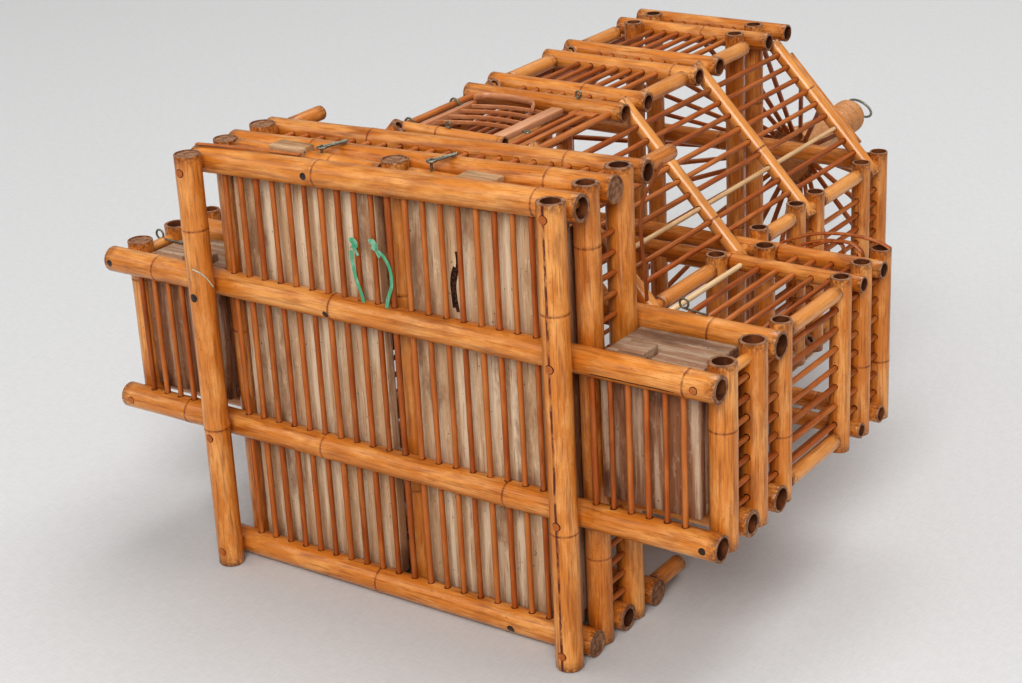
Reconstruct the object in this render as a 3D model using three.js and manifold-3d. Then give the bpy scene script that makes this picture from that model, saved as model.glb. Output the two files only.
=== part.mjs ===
// A large old bamboo birdcage, lying on its side with its base to the front.
//
// The cage is built like a log cabin: posts and rails are stacked crosswise, drilled through, and
// held by corner bars. Thin rods run through the rails and close every wall.
// Axes of the cage: x is the width (along the long base rails), y is the cage's own upright, from
// the base rails (height 0) to the hanging ring, and z is the depth, which points up as it lies.
// Everything is in millimetres.

import * as THREE from 'three';
import { mergeVertices } from 'three/addons/utils/BufferGeometryUtils.js';
import Module from 'manifold-3d';

const wasm = await Module();
wasm.setup();

// Bamboo sections
const baseBar = 11; // radius of the thick base rails and posts
const wallBar = 8.7; // radius of the rails and posts above the base
const cornerBar = 4.6; // radius of the bars that pin the stack at its corners
const spacerBar = 6.5; // radius of the spacers round the corner bars, in the wide gaps of the walls
const rod = 2.3; // radius of the thin rods
const boreShare = 0.56; // hollow of a bamboo bar, as a share of its radius
const boreDepth = 6; // how deep the open ends show their hollow
const endOverhang = 11; // how far a rail runs past the axis of its corner bar
const pinOverhang = 8; // how far a slanted bar runs past its pins
const clearance = 0.3; // gap between pieces that touch

// Plan of the cage, from its middle to the axes of the bars
const halfWidth = 276; // to the outer wing posts
const halfBody = 168; // to the main posts and the tower's side walls
const halfDepth = 170; // to the outer base rails
const halfWing = 61.5; // to the wing rails
const crownHalf = 66; // to the corner bars of the tower's flat walls
const upperRack = 6; // how much the upper base rails lean, up at the right and down at the left

// Heights above the base rails
const wallLevel = 225; // lower pair of wing rails
const crownLevel = 344; // lower crown rails
const topLevel = 469; // lower top rails
const stubLevel = 140; // free ends of the main corner bars
const collarLevel = 655; // where the roof rods meet

// Rods, counted in each panel
const baseRodCount = 20;
const baseRodPitch = 16;
const wingRodCount = 6;
const wingRodPitch = 15;
const frameRodPitch = 15.5;
const wingWallRodCount = 7;
const wingWallRodPitch = 16;
const slantRodCount = 9;
const slantRodPitch = 13.8;
const flatRodCount = 7;
const flatRodPitch = 13;
const roofRodCount = 3;
const roofInset = 24; // from a slanted wall's pins to its roof panel

// Sliding boards and trays
const boardThick = 10;
const boardSide = 2.5; // side clearance to the posts
const boardInset = 2; // from the axes of the outer base rails to a board's ends
const edgeCane = 8.4; // radius of the cane along a board's upper edge
const blockWidth = 32;
const blockRise = 12;
const blockSpots = { left: -98, right: 79 };
const trayHeight = 58; // outer height of a wing tray
const trayWall = 9;
const trayBlockSpot = 27; // from a tray's inner side to the middle of its block
const trayBlockWidth = 22;
const trayBlockDepth = 18;
const trayBlockRise = 7;
const trayProud = 2.5; // how far a wing tray's outer end stands past the wing rails' axes

// Door in the upper flat wall
const doorHinge = 15; // from the corner bar, which it turns on, to its first stile
const doorWidth = 74; // between the axes of its stiles
const doorLow = 117;
const doorHigh = 203;
const doorBar = 3.2; // half the thickness of the stiles
const doorSlat = 11; // width of the second stile, a flat slat
const doorBow = 4; // rise of the top strip in its middle
const doorSill = 5.6; // radius of its bottom rail
const doorStrip = 1.6;
const doorStripCount = 4;
const sillRun = 14; // how far the bottom rail runs past the second stile
const eyeWire = 2; // wall of the hinge eyes
const eyeHeight = 5;
const slatWidth = 10; // of the slat that ties the rods beside the doorway
const slatThick = 3.2;
const slatDrop = 8; // from the rail above to the middle of the slat
const doorwayRodPitch = 9.5;
const doorwayGap = 2; // from the door's bottom rail to the nearest rod

// Finial, ring and the wire hooks of the boards
const finialHeight = 152;
const finialBase = 30;
const finialLean = 2.7; // degrees
const knobRadius = 18;
const ringRadius = 13.5;
const ringWire = 1.3;
const eyeHole = 2.8;
const eyeNeck = 5; // radius of the finial's tip, which the ring goes through
const hookWire = 1.1;
const hookEye = 4;
const hookArm = 24;
const hookSpots = { left: -70, right: 34 };
const nailRadius = 1.2;

// Heights of the stacked levels, each one bar above the last
const baseStep = 2 * baseBar + clearance;
const wallStep = 2 * wallBar + clearance;
const level = {
  footPost: -baseStep,
  baseRail: 0,
  trayPost: baseStep,
  trayRail: 2 * baseStep,
  floorPost: 3 * baseStep,
  floorRail: 4 * baseStep,
  sill: 4 * baseStep + baseBar + clearance + wallBar,
  headPost: wallLevel - wallStep,
  headRail: wallLevel,
  eavesPost: wallLevel + wallStep,
  eavesRail: wallLevel + 2 * wallStep,
  wingTop: wallLevel + 3 * wallStep,
  crownLow: crownLevel,
  crownTie: crownLevel + wallStep,
  crownHigh: crownLevel + 2 * wallStep,
  topPost: topLevel - wallStep,
  topLow: topLevel,
  topTie: topLevel + wallStep,
  topHigh: topLevel + 2 * wallStep,
};
const floorTop = level.floorRail + baseBar + clearance;
const outerFace = halfDepth + baseBar; // the plane that the cage lies on
const wallCorner = wallBar / Math.cos(Math.PI / 6); // half the width of a wall cane's section
const wallDepth = outerFace - wallCorner; // to the tower's flat walls, flush with the base

// Materials, with the colours of old varnished bamboo, bare wood and wire
const bamboo = new THREE.MeshStandardMaterial({ color: 0xb8752c, roughness: 0.35, metalness: 0 });
const splitCane = new THREE.MeshStandardMaterial({ color: 0x9a5a2a, roughness: 0.45, metalness: 0 });
const oldBoard = new THREE.MeshStandardMaterial({ color: 0x9c8468, roughness: 0.85, metalness: 0 });
const turnedWood = new THREE.MeshStandardMaterial({ color: 0xc79a6a, roughness: 0.55, metalness: 0 });
const wire = new THREE.MeshStandardMaterial({ color: 0x6d6f66, roughness: 0.5, metalness: 0.9 });

const at = (width, height, depth) => new THREE.Vector3(width, height, depth);
const upright = at(0, 1, 0);
const sideways = at(1, 0, 0);

function solidOf(geometry) {
  const bare = geometry.clone();
  bare.deleteAttribute('normal');
  bare.deleteAttribute('uv');
  const welded = mergeVertices(bare, 1e-4);
  return new wasm.Manifold(new wasm.Mesh({
    numProp: 3,
    vertProperties: Float32Array.from(welded.attributes.position.array),
    triVerts: Uint32Array.from(welded.index.array),
  }));
}

function geometryOf(solid) {
  const mesh = solid.getMesh();
  const geometry = new THREE.BufferGeometry();
  geometry.setAttribute('position', new THREE.BufferAttribute(mesh.vertProperties, 3));
  geometry.setIndex(new THREE.BufferAttribute(mesh.triVerts, 1));
  geometry.computeVertexNormals();
  return geometry;
}

// A bar between two points, with a flat of its section turned to face one way
function barSolid(start, end, radius, count = 8, facing = upright) {
  const along = new THREE.Vector3().subVectors(end, start);
  const length = along.length();
  along.normalize();
  const face = facing.clone().addScaledVector(along, -facing.dot(along)).normalize();
  const outer = radius / Math.cos(Math.PI / count);
  const geometry = new THREE.CylinderGeometry(outer, outer, length, count, 1, false, Math.PI / count);
  const across = new THREE.Vector3().crossVectors(along, face);
  geometry.applyMatrix4(new THREE.Matrix4().makeBasis(across, along, face));
  const middle = new THREE.Vector3().addVectors(start, end).multiplyScalar(0.5);
  geometry.translate(middle.x, middle.y, middle.z);
  return solidOf(geometry);
}

// A thick base cane, hollow at both open ends
function caneSolid(start, end) {
  const inward = new THREE.Vector3().subVectors(end, start).normalize();
  const bore = (mouth, direction) => barSolid(
    mouth.clone().addScaledVector(direction, -1),
    mouth.clone().addScaledVector(direction, boreDepth),
    baseBar * boreShare, 6,
  );
  return barSolid(start, end, baseBar)
    .subtract(bore(start, inward))
    .subtract(bore(end, inward.clone().negate()));
}

// A thinner cane of the walls
const wallSolid = (start, end) => barSolid(start, end, wallBar, 6);

// Rods and corner bars have square sections of the same area as the round bamboo
const squareHalf = (radius) => radius * Math.sqrt(Math.PI) / 2;
const rodSolid = (start, end, facing = sideways) => barSolid(start, end, squareHalf(rod), 4, facing);
const cornerSolid = (width, depth, from, to, gap = 0) =>
  barSolid(at(width, from, depth), at(width, to, depth), squareHalf(cornerBar) + gap, 4, sideways);

// Base rails along the width, and wall posts along the depth
const railAlong = (half, height, depth) => caneSolid(at(-half, height, depth), at(half, height, depth));
const wallRail = (half, height, depth) => wallSolid(at(-half, height, depth), at(half, height, depth));
const wallPost = (width, height, half) => wallSolid(at(width, height, -half), at(width, height, half));

// Spacers round one corner bar, each between the bars that lie below and above it
const spacers = (width, depth, gaps) => gaps.map(([below, above]) => barSolid(
  at(width, below + wallBar + clearance, depth), at(width, above - wallBar - clearance, depth),
  squareHalf(spacerBar), 4, sideways));

// A plain box between two corners
const boxSolid = (low, high) => {
  const geometry = new THREE.BoxGeometry(high.x - low.x, high.y - low.y, high.z - low.z);
  geometry.translate((low.x + high.x) / 2, (low.y + high.y) / 2, (low.z + high.z) / 2);
  return solidOf(geometry);
};

const joined = (solids) => solids.reduce((sum, solid) => sum.add(solid));
const drilled = (solid, holes) => holes.reduce((rest, hole) => rest.subtract(hole), solid);

// Evenly spaced places, centred on zero
const places = (count, pitch) =>
  Array.from({ length: count }, (_, index) => (index - (count - 1) / 2) * pitch);

const cage = new THREE.Group();

function place(name, solid, material) {
  const mesh = new THREE.Mesh(geometryOf(solid), material);
  mesh.name = name;
  cage.add(mesh);
  return mesh;
}

const sides = [['left', -1], ['right', 1]];
const faces = [['upper', 1], ['lower', -1]];

// Depth of the outer base rails: the upper ones lean, the lower ones lie flat
const baseDepth = (side, face) => face * halfDepth + (face > 0 ? side * upperRack : 0);

function baseRail(height, face) {
  const half = halfBody + endOverhang;
  const lean = (side) => face * halfDepth + (face > 0 ? side * upperRack * half / halfBody : 0);
  return caneSolid(at(-half, height, lean(-1)), at(half, height, lean(1)));
}

function basePost(side, height) {
  const top = baseDepth(side, 1) + endOverhang;
  const width = side * halfBody;
  return caneSolid(at(width, height, clearance - outerFace), at(width, height, top));
}

// Holes for the four main corner bars, for those of the tower's side walls, and for the wings'
const mainHoles = sides.flatMap(([, side]) => faces.map(([, face]) => cornerSolid(
  side * halfBody, baseDepth(side, face), level.footPost - 2 * baseBar, level.wingTop, clearance,
)));
const towerHoles = sides.flatMap(([, side]) => faces.map(([, face]) => cornerSolid(
  side * halfBody, face * halfWing, level.trayRail, level.topHigh, clearance,
)));
const wingHoles = sides.flatMap(([, side]) => faces.map(([, face]) => cornerSolid(
  side * halfWidth, face * halfWing, level.footPost, level.crownLow, clearance,
)));

function addCornerBars() {
  const start = level.footPost - baseBar + clearance;
  for (const [sideName, side] of sides) {
    for (const [faceName, face] of faces) {
      const width = side * halfBody;
      const depth = baseDepth(side, face);
      const stub = barSolid(
        at(width, floorTop, depth), at(width, stubLevel, depth), squareHalf(spacerBar), 4, sideways);
      place(`corner_bar_${faceName}_${sideName}`,
        cornerSolid(width, depth, start, stubLevel).add(stub), bamboo);
    }
  }
}

// Base: two foot posts, four rails and the rods that run through all of them
function addBase() {
  for (const [sideName, side] of sides) {
    place(`foot_post_${sideName}`, drilled(basePost(side, level.footPost), mainHoles), bamboo);
  }
  const longHalf = halfWidth + endOverhang;
  const rails = [
    baseRail(level.baseRail, 1),
    railAlong(longHalf, level.baseRail, halfWing),
    railAlong(longHalf, level.baseRail, -halfWing),
    baseRail(level.baseRail, -1),
  ];
  const rodBetween = (width, low, high) =>
    rodSolid(at(width, level.baseRail, low), at(width, level.baseRail, high));
  const centreRods = places(baseRodCount, baseRodPitch).map((width) =>
    rodBetween(width, -halfDepth, halfDepth + upperRack * width / halfBody));
  const wingMiddle = (halfBody + halfWidth - cornerBar) / 2;
  const wingRods = sides.flatMap(([, side]) => places(wingRodCount, wingRodPitch).map((offset) =>
    rodBetween(side * wingMiddle + offset, -halfWing, halfWing)));
  place('base_grille', drilled(joined([...rails, ...centreRods, ...wingRods]), mainHoles), bamboo);
}

// Tray level: posts and rails between which the boards slide, then the floor rails above them
function addTrayLevels() {
  const longHalf = halfWidth + endOverhang;
  for (const [sideName, side] of sides) {
    place(`tray_post_${sideName}`, drilled(basePost(side, level.trayPost), mainHoles), bamboo);
    place(`floor_post_${sideName}`, drilled(basePost(side, level.floorPost), mainHoles), bamboo);
  }
  place('tray_post_middle', caneSolid(
    at(0, level.trayPost, clearance - outerFace), at(0, level.trayPost, halfDepth + endOverhang)), bamboo);
  place('tray_rail_upper', drilled(baseRail(level.trayRail, 1), mainHoles), bamboo);
  place('tray_rail_lower', drilled(baseRail(level.trayRail, -1), mainHoles), bamboo);
  place('wing_tray_rail', drilled(railAlong(longHalf, level.trayRail, -halfWing), wingHoles), bamboo);
  for (const [faceName, face] of faces) {
    place(`floor_rail_${faceName}`, drilled(baseRail(level.floorRail, face), mainHoles), bamboo);
    place(`wing_floor_rail_${faceName}`,
      drilled(railAlong(longHalf, level.floorRail, face * halfWing), wingHoles), bamboo);
  }
}

// Outer wall of a wing: six posts, two corner bars and seven rods
function addWingWalls() {
  const half = halfWing + endOverhang;
  const baseLevels = [level.trayPost, level.floorPost];
  const wallLevels = [level.sill, level.headPost, level.eavesPost, level.wingTop];
  for (const [sideName, side] of sides) {
    const width = side * halfWidth;
    const basePosts = baseLevels.map((height) => caneSolid(at(width, height, -half), at(width, height, half)));
    const wallPosts = wallLevels.map((height) => wallPost(width, height, half));
    const wallRods = places(wingWallRodCount, wingWallRodPitch).map((depth) =>
      rodSolid(at(width, level.trayPost, depth), at(width, level.wingTop, depth)));
    const bars = faces.flatMap(([, face]) => [
      cornerSolid(width, face * halfWing, level.trayPost, level.wingTop),
      ...spacers(width, face * halfWing, [[level.sill, level.headPost]]),
    ]);
    place(`wing_wall_${sideName}`, joined([...basePosts, ...wallPosts, ...wallRods, ...bars]), bamboo);
  }
}

// Upper and lower frame of both wings: two rails across the whole cage, and the rods that stand on
// the floor rail. The first rods end below the inner post.
const headPostWidth = halfBody;
const firstFrameRod = headPostWidth + wallCorner + squareHalf(rod) + 3;
const shortFrameRods = 2;

function addWingFrames() {
  const half = halfWidth + endOverhang;
  for (const [faceName, face] of faces) {
    const depth = face * halfWing;
    const rails = [level.headRail, level.eavesRail].map((height) => wallRail(half, height, depth));
    const wingRods = sides.flatMap(([, side]) => Array.from({ length: wingRodCount }, (_, index) => {
      const width = side * (firstFrameRod + index * frameRodPitch);
      const end = index < shortFrameRods ? level.headRail : level.eavesRail;
      return rodSolid(at(width, floorTop, depth), at(width, end, depth));
    }));
    place(`wing_frame_${faceName}`,
      drilled(joined([...rails, ...wingRods]), [...wingHoles, ...towerHoles]), bamboo);
  }
}

// Short posts where the wings meet the tower: one pinned below the wing rails, one between them
function addInnerPosts() {
  const half = halfWing + endOverhang;
  const eavesPostWidth = halfBody + pinOverhang + 2 * wallCorner - 4;
  for (const [sideName, side] of sides) {
    place(`head_post_${sideName}`,
      drilled(wallPost(side * headPostWidth, level.headPost, half), towerHoles), bamboo);
    place(`eaves_post_${sideName}`, wallPost(side * eavesPostWidth, level.eavesPost, half), bamboo);
  }
}

// Cross posts stand just outside the rods of the flat walls
const crossPostWidth = (flatRodCount - 1) / 2 * flatRodPitch + squareHalf(rod) + wallCorner + 1;
const topTieStart = 5.5; // where the highest slanted bar starts, beside the cross post

// The slanted walls make the tower eight-sided. Each has four cross bars, pinned by the corner
// bars of the walls beside it, and nine rods.
const slantTop = new THREE.Vector2(crownHalf, wallDepth);
const slantSide = new THREE.Vector2(halfBody, halfWing);
const slantLength = slantTop.distanceTo(slantSide);
const slantSpot = (side, face, distance, height) => {
  const spot = slantTop.clone().lerp(slantSide, distance / slantLength);
  return at(side * spot.x, height, face * spot.y);
};

function addSlantedWalls() {
  const slab = boxSolid(
    at(-halfWidth, level.footPost, clearance - outerFace),
    at(halfWidth, level.topHigh, outerFace - clearance));
  const bars = [
    [level.sill, -pinOverhang], [level.eavesPost, -pinOverhang],
    [level.crownTie, -pinOverhang], [level.topTie, topTieStart],
  ];
  for (const [sideName, side] of sides) {
    for (const [faceName, face] of faces) {
      const crossBars = bars.map(([height, start]) => wallSolid(
        slantSpot(side, face, start, height),
        slantSpot(side, face, slantLength + pinOverhang, height)));
      const wallRods = places(slantRodCount, slantRodPitch).map((offset) => rodSolid(
        slantSpot(side, face, slantLength / 2 + offset, level.sill),
        slantSpot(side, face, slantLength / 2 + offset, level.topTie)));
      const flatPin = cornerSolid(
        side * crownHalf, face * wallDepth, level.trayRail, level.topPost, clearance);
      const wall = joined([...crossBars, ...wallRods]).intersect(slab);
      place(`slanted_wall_${faceName}_${sideName}`, drilled(wall, [flatPin, ...towerHoles]), splitCane);
    }
  }
}

// Flat walls of the tower, above and below as it lies: three pairs of rails, rods and corner bars.
// The upper one leaves the doorway open below its first rail.
function addFlatWalls() {
  const railHalf = crownHalf + endOverhang;
  const heights = [
    level.headRail, level.eavesRail, level.crownLow, level.crownHigh, level.topLow, level.topHigh,
  ];
  for (const [faceName, face] of faces) {
    const depth = face * wallDepth;
    const rails = heights.map((height) => wallRail(railHalf, height, depth));
    const rodStart = face > 0 ? level.headRail : floorTop;
    const wallRods = places(flatRodCount, flatRodPitch).map((width) =>
      rodSolid(at(width, rodStart, depth), at(width, level.topHigh, depth)));
    const gaps = [
      [level.sill, level.headRail], [level.eavesRail, level.crownLow], [level.crownHigh, level.topPost],
    ];
    const bars = sides.flatMap(([, side]) => [
      cornerSolid(side * crownHalf, depth, floorTop, level.topPost - wallBar - clearance),
      ...spacers(side * crownHalf, depth, gaps),
    ]);
    place(`flat_wall_${faceName}`, joined([...rails, ...wallRods, ...bars]), splitCane);
  }
}

// Side walls of the tower, above the wings
function addSideWalls() {
  const postHalf = halfWing + endOverhang;
  const heights = [level.wingTop, level.crownLow, level.crownHigh, level.topLow, level.topHigh];
  for (const [sideName, side] of sides) {
    const width = side * halfBody;
    const posts = heights.map((height) => wallPost(width, height, postHalf));
    const wallRods = places(flatRodCount, flatRodPitch).map((depth) =>
      rodSolid(at(width, level.wingTop, depth), at(width, level.topHigh, depth)));
    const gaps = [
      [level.sill, level.headPost], [level.wingTop, level.crownLow], [level.crownHigh, level.topLow],
    ];
    const bars = faces.flatMap(([, face]) => [
      cornerSolid(width, face * halfWing, floorTop, level.topHigh),
      ...spacers(width, face * halfWing, gaps),
    ]);
    place(`side_wall_${sideName}`, joined([...posts, ...wallRods, ...bars]), splitCane);
  }
}

// Cross posts and beams at the top of the tower
function addTopFrame() {
  const postWidth = crossPostWidth;
  for (const [sideName, side] of sides) {
    place(`cross_post_low_${sideName}`,
      wallPost(side * postWidth, level.topPost, outerFace - clearance), bamboo);
    place(`cross_post_high_${sideName}`,
      wallPost(side * postWidth, level.topTie, outerFace - clearance), bamboo);
  }
  for (const [faceName, face] of faces) {
    place(`roof_beam_${faceName}`,
      wallRail(halfBody - wallCorner - clearance, level.topHigh, face * halfWing), bamboo);
  }
}

// Roof: eight flat fans of rods that lean in from the top rails to a collar under the finial
const collarRadius = finialBase - 4;
const batten = 3;

function addRoofFan(name, eaveStart, eaveEnd, angle) {
  const halfChord = (collarRadius - batten) * Math.tan(Math.PI / 8) - clearance;
  const turn = (across) => at(
    Math.cos(angle) * collarRadius - Math.sin(angle) * across, collarLevel,
    Math.sin(angle) * collarRadius + Math.cos(angle) * across);
  const collarStart = turn(-halfChord);
  const collarEnd = turn(halfChord);
  const fan = [
    barSolid(eaveStart, eaveEnd, batten, 4),
    barSolid(collarStart, collarEnd, batten, 4),
  ];
  for (let index = 0; index < roofRodCount; index += 1) {
    const share = (index + 0.5) / roofRodCount;
    fan.push(rodSolid(
      eaveStart.clone().lerp(eaveEnd, share), collarStart.clone().lerp(collarEnd, share), upright));
  }
  place(name, joined(fan), splitCane);
}

function addRoof() {
  const onRails = level.topHigh + wallBar + clearance + batten;
  const onTies = level.topTie + wallBar + clearance + batten;
  const half = halfWing - 4;
  addRoofFan('roof_upper', at(half, onRails, wallDepth), at(-half, onRails, wallDepth), Math.PI / 2);
  addRoofFan('roof_lower', at(-half, onRails, -wallDepth), at(half, onRails, -wallDepth), -Math.PI / 2);
  addRoofFan('roof_right', at(halfBody, onRails, -half), at(halfBody, onRails, half), 0);
  addRoofFan('roof_left', at(-halfBody, onRails, half), at(-halfBody, onRails, -half), Math.PI);
  for (const [sideName, side] of sides) {
    for (const [faceName, face] of faces) {
      const spots = [slantSpot(side, face, roofInset, onTies), slantSpot(side, face, slantLength - roofInset, onTies)];
      const [start, end] = side * face > 0 ? spots.reverse() : spots;
      const angle = Math.atan2(face, side);
      addRoofFan(`roof_slanted_${faceName}_${sideName}`, start, end, angle);
    }
  }
}

// Turned finial with a grooved knob, and the ring through its tip. Both lean a little, up as the
// cage lies.
const lean = THREE.MathUtils.degToRad(finialLean);
const holeHeight = finialHeight - 5;
const holeDirection = at(0.85, 0, -0.53).normalize();
const crown = new THREE.Group();
crown.position.y = collarLevel + batten + clearance + finialBase * Math.sin(lean);
crown.rotation.x = lean;
cage.add(crown);

function addFinial() {
  const profile = [
    [0, 0], [finialBase, 0], [finialBase, 9], [finialBase - 6, 24], [20, 54], [16.5, 90],
    [13, finialHeight - 46], [15, finialHeight - 42], [knobRadius, finialHeight - 34],
    [knobRadius - 2, finialHeight - 27], [knobRadius, finialHeight - 20],
    [knobRadius - 3, finialHeight - 13], [eyeNeck, finialHeight - 10], [eyeNeck, finialHeight],
    [0, finialHeight],
  ].map(([radius, height]) => new THREE.Vector2(radius, height));
  const body = solidOf(new THREE.LatheGeometry(profile, 10));
  const hole = barSolid(
    holeDirection.clone().multiplyScalar(-2 * eyeNeck).setY(holeHeight),
    holeDirection.clone().multiplyScalar(2 * eyeNeck).setY(holeHeight), eyeHole, 8);
  crown.add(place('finial', body.subtract(hole), turnedWood));
}

function addRing() {
  const geometry = new THREE.TorusGeometry(ringRadius, ringWire, 5, 16);
  const across = new THREE.Vector3().crossVectors(holeDirection, upright);
  geometry.applyMatrix4(new THREE.Matrix4().makeBasis(holeDirection, upright, across));
  geometry.translate(0, holeHeight + ringRadius, 0);
  crown.add(place('hanging_ring', solidOf(geometry), wire));
}

// Sliding boards under the middle of the cage, each with a cane edge and a block to pull it by
const boardFoot = level.baseRail + baseBar + clearance;
const boardReach = halfDepth - boardInset;

function addBoards() {
  const inner = baseBar + boardSide;
  const outer = halfBody - baseBar - boardSide;
  for (const [sideName, side] of sides) {
    const low = Math.min(side * inner, side * outer);
    const high = Math.max(side * inner, side * outer);
    const spot = blockSpots[sideName];
    const board = boxSolid(at(low, boardFoot, -boardReach), at(high, boardFoot + boardThick, boardReach));
    const edge = barSolid(
      at(low, level.trayPost, boardReach), at(high, level.trayPost, boardReach), edgeCane);
    const block = boxSolid(
      at(spot - blockWidth / 2, boardFoot, boardReach - blockRise),
      at(spot + blockWidth / 2, boardFoot + 2 * edgeCane, boardReach + blockRise));
    const nail = barSolid(
      at(hookSpots[sideName], level.trayPost, boardReach),
      hookCentre(sideName).add(at(0, 0, 2 * hookWire)), nailRadius, 6);
    place(`board_${sideName}`, joined([board, edge, block, nail]), oldBoard);
  }
}

// Wing trays: open boxes that slide in between the wing posts, down to the wing tray rail
function addWingTrays() {
  const inner = halfBody + baseBar + boardSide;
  const outer = halfWidth - baseBar - boardSide;
  const trayLow = -halfWing + baseBar + clearance;
  const trayTop = halfWing + trayProud;
  for (const [sideName, side] of sides) {
    const low = Math.min(side * inner, side * outer);
    const high = Math.max(side * inner, side * outer);
    const shell = boxSolid(at(low, boardFoot, trayLow), at(high, boardFoot + trayHeight, trayTop));
    const hollow = boxSolid(
      at(low + trayWall, boardFoot + trayWall, trayLow + trayWall),
      at(high - trayWall, boardFoot + trayHeight + 1, trayTop - trayWall));
    const spot = side * (inner + trayBlockSpot);
    const block = boxSolid(
      at(spot - trayBlockWidth / 2, boardFoot, trayTop - 1),
      at(spot + trayBlockWidth / 2, boardFoot + trayBlockDepth, trayTop + trayBlockRise));
    place(`wing_tray_${sideName}`, shell.subtract(hollow).add(block), oldBoard);
  }
}

// Wire hooks: an eye round the board's nail, and an arm that lies over the upper tray rail
function hookCentre(sideName) {
  const width = hookSpots[sideName];
  const railTop = halfDepth + upperRack * (width + hookArm / 2) / halfBody + baseBar;
  return at(width, level.trayPost, railTop + hookWire + clearance);
}

function addHooks() {
  for (const [sideName] of sides) {
    const centre = hookCentre(sideName);
    const eye = new THREE.TorusGeometry(hookEye - hookWire, hookWire, 4, 8);
    eye.translate(centre.x, centre.y, centre.z);
    const armStart = centre.clone().add(at(0, hookEye - hookWire, 0));
    const arm = barSolid(armStart, centre.clone().add(at(hookArm / 3, hookArm, 0)), hookWire, 5);
    place(`hook_${sideName}`, solidOf(eye).add(arm), wire);
  }
}

// Door: a bottom rail, two stiles, a bowed top strip and thin bowed strips across. Two eyes turn
// round the left corner bar of the upper flat wall.
const doorLeft = -crownHalf + doorHinge;
const doorRight = doorLeft + doorWidth;

function hingeEye(height) {
  const inner = (squareHalf(spacerBar) * Math.SQRT2 + clearance) / Math.cos(Math.PI / 8);
  const outline = [
    [inner, -eyeHeight / 2], [inner + eyeWire, -eyeHeight / 2], [inner + eyeWire, eyeHeight / 2],
    [inner, eyeHeight / 2], [inner, -eyeHeight / 2],
  ].map(([radius, rise]) => new THREE.Vector2(radius, rise));
  const ring = new THREE.LatheGeometry(outline, 8);
  ring.translate(-crownHalf, height, wallDepth);
  const arm = boxSolid(
    at(-crownHalf + inner + eyeWire / 2, height - eyeHeight / 2, wallDepth - eyeWire / 2),
    at(doorLeft, height + eyeHeight / 2, wallDepth + eyeWire / 2));
  return solidOf(ring).add(arm);
}

function addDoor() {
  const slantTopFace = level.sill + wallBar;
  const stile = (width, half) => boxSolid(
    at(width - half, slantTopFace + clearance, wallDepth - doorBar),
    at(width + half, doorHigh + doorBow / 2, wallDepth + doorBar));
  const bowed = (height, rise, radius) => {
    const middle = at((doorLeft + doorRight) / 2, height + rise, wallDepth);
    return barSolid(at(doorLeft, height, wallDepth), middle, radius, 4)
      .add(barSolid(middle, at(doorRight, height, wallDepth), radius, 4));
  };
  const stripHeights = Array.from({ length: doorStripCount }, (_, index) =>
    doorLow + (index + 1) * (doorHigh - doorLow) / (doorStripCount + 1));
  const pieces = [
    barSolid(at(doorLeft + 1, doorLow, wallDepth), at(doorRight + sillRun, doorLow, wallDepth), doorSill, 6),
    stile(doorLeft, doorBar), stile(doorRight, doorSlat / 2), bowed(doorHigh, doorBow, 2.4),
    ...stripHeights.map((height) => bowed(height, doorBow - 1, doorStrip)),
    hingeEye(slantTopFace + 2 * eyeHeight), hingeEye(doorHigh - eyeHeight),
  ];
  place('door', joined(pieces), bamboo);
}

// Rods that close the wall beside the doorway, with the slat that ties them
function addDoorwayRods() {
  const slatHeight = level.headRail - wallBar - slatDrop;
  const first = doorRight + sillRun + squareHalf(rod) + doorwayGap;
  const slat = boxSolid(
    at(first - slatWidth / 2, slatHeight - slatWidth / 2, wallDepth - slatThick / 2),
    at(crownHalf - squareHalf(spacerBar) - 1, slatHeight + slatWidth / 2, wallDepth + slatThick / 2));
  const bars = [first, first + doorwayRodPitch].map((width) => rodSolid(
    at(width, floorTop, wallDepth),
    at(width, level.headRail - wallBar - clearance, wallDepth)));
  place('doorway_rods', joined([slat, ...bars]), splitCane);
}

addCornerBars();
addBase();
addTrayLevels();
addWingWalls();
addWingFrames();
addInnerPosts();
addSlantedWalls();
addFlatWalls();
addSideWalls();
addTopFrame();
addRoof();
addFinial();
addRing();
addBoards();
addWingTrays();
addHooks();
addDoor();
addDoorwayRods();

// The origin is in the middle of the cage's box, on the plane that it lies on
const box = new THREE.Box3().setFromObject(cage, true);
const birdcage = new THREE.Group();
birdcage.add(cage);
cage.position.set(0, -(box.min.y + box.max.y) / 2, outerFace);

export default birdcage;
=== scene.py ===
"""An old bamboo birdcage that lies on its side: canes, rods, boards and wire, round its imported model."""
import math
import random
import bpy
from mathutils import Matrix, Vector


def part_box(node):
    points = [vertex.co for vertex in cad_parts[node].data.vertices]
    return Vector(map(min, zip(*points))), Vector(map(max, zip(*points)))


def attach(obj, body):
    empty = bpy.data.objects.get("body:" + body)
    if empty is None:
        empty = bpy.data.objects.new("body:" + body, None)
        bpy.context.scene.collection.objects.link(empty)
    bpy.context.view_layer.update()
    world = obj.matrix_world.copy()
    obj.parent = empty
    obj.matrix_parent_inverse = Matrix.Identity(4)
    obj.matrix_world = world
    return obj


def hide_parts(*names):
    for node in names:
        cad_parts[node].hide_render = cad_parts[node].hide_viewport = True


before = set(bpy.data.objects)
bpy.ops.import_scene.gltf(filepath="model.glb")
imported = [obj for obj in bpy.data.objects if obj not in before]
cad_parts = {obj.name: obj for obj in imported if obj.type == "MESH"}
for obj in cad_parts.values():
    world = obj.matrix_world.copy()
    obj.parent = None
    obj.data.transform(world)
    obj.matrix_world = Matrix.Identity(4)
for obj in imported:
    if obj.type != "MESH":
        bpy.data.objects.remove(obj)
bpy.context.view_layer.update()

from types import SimpleNamespace

import bpy
import numpy as np
from mathutils import Matrix, Vector

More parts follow.
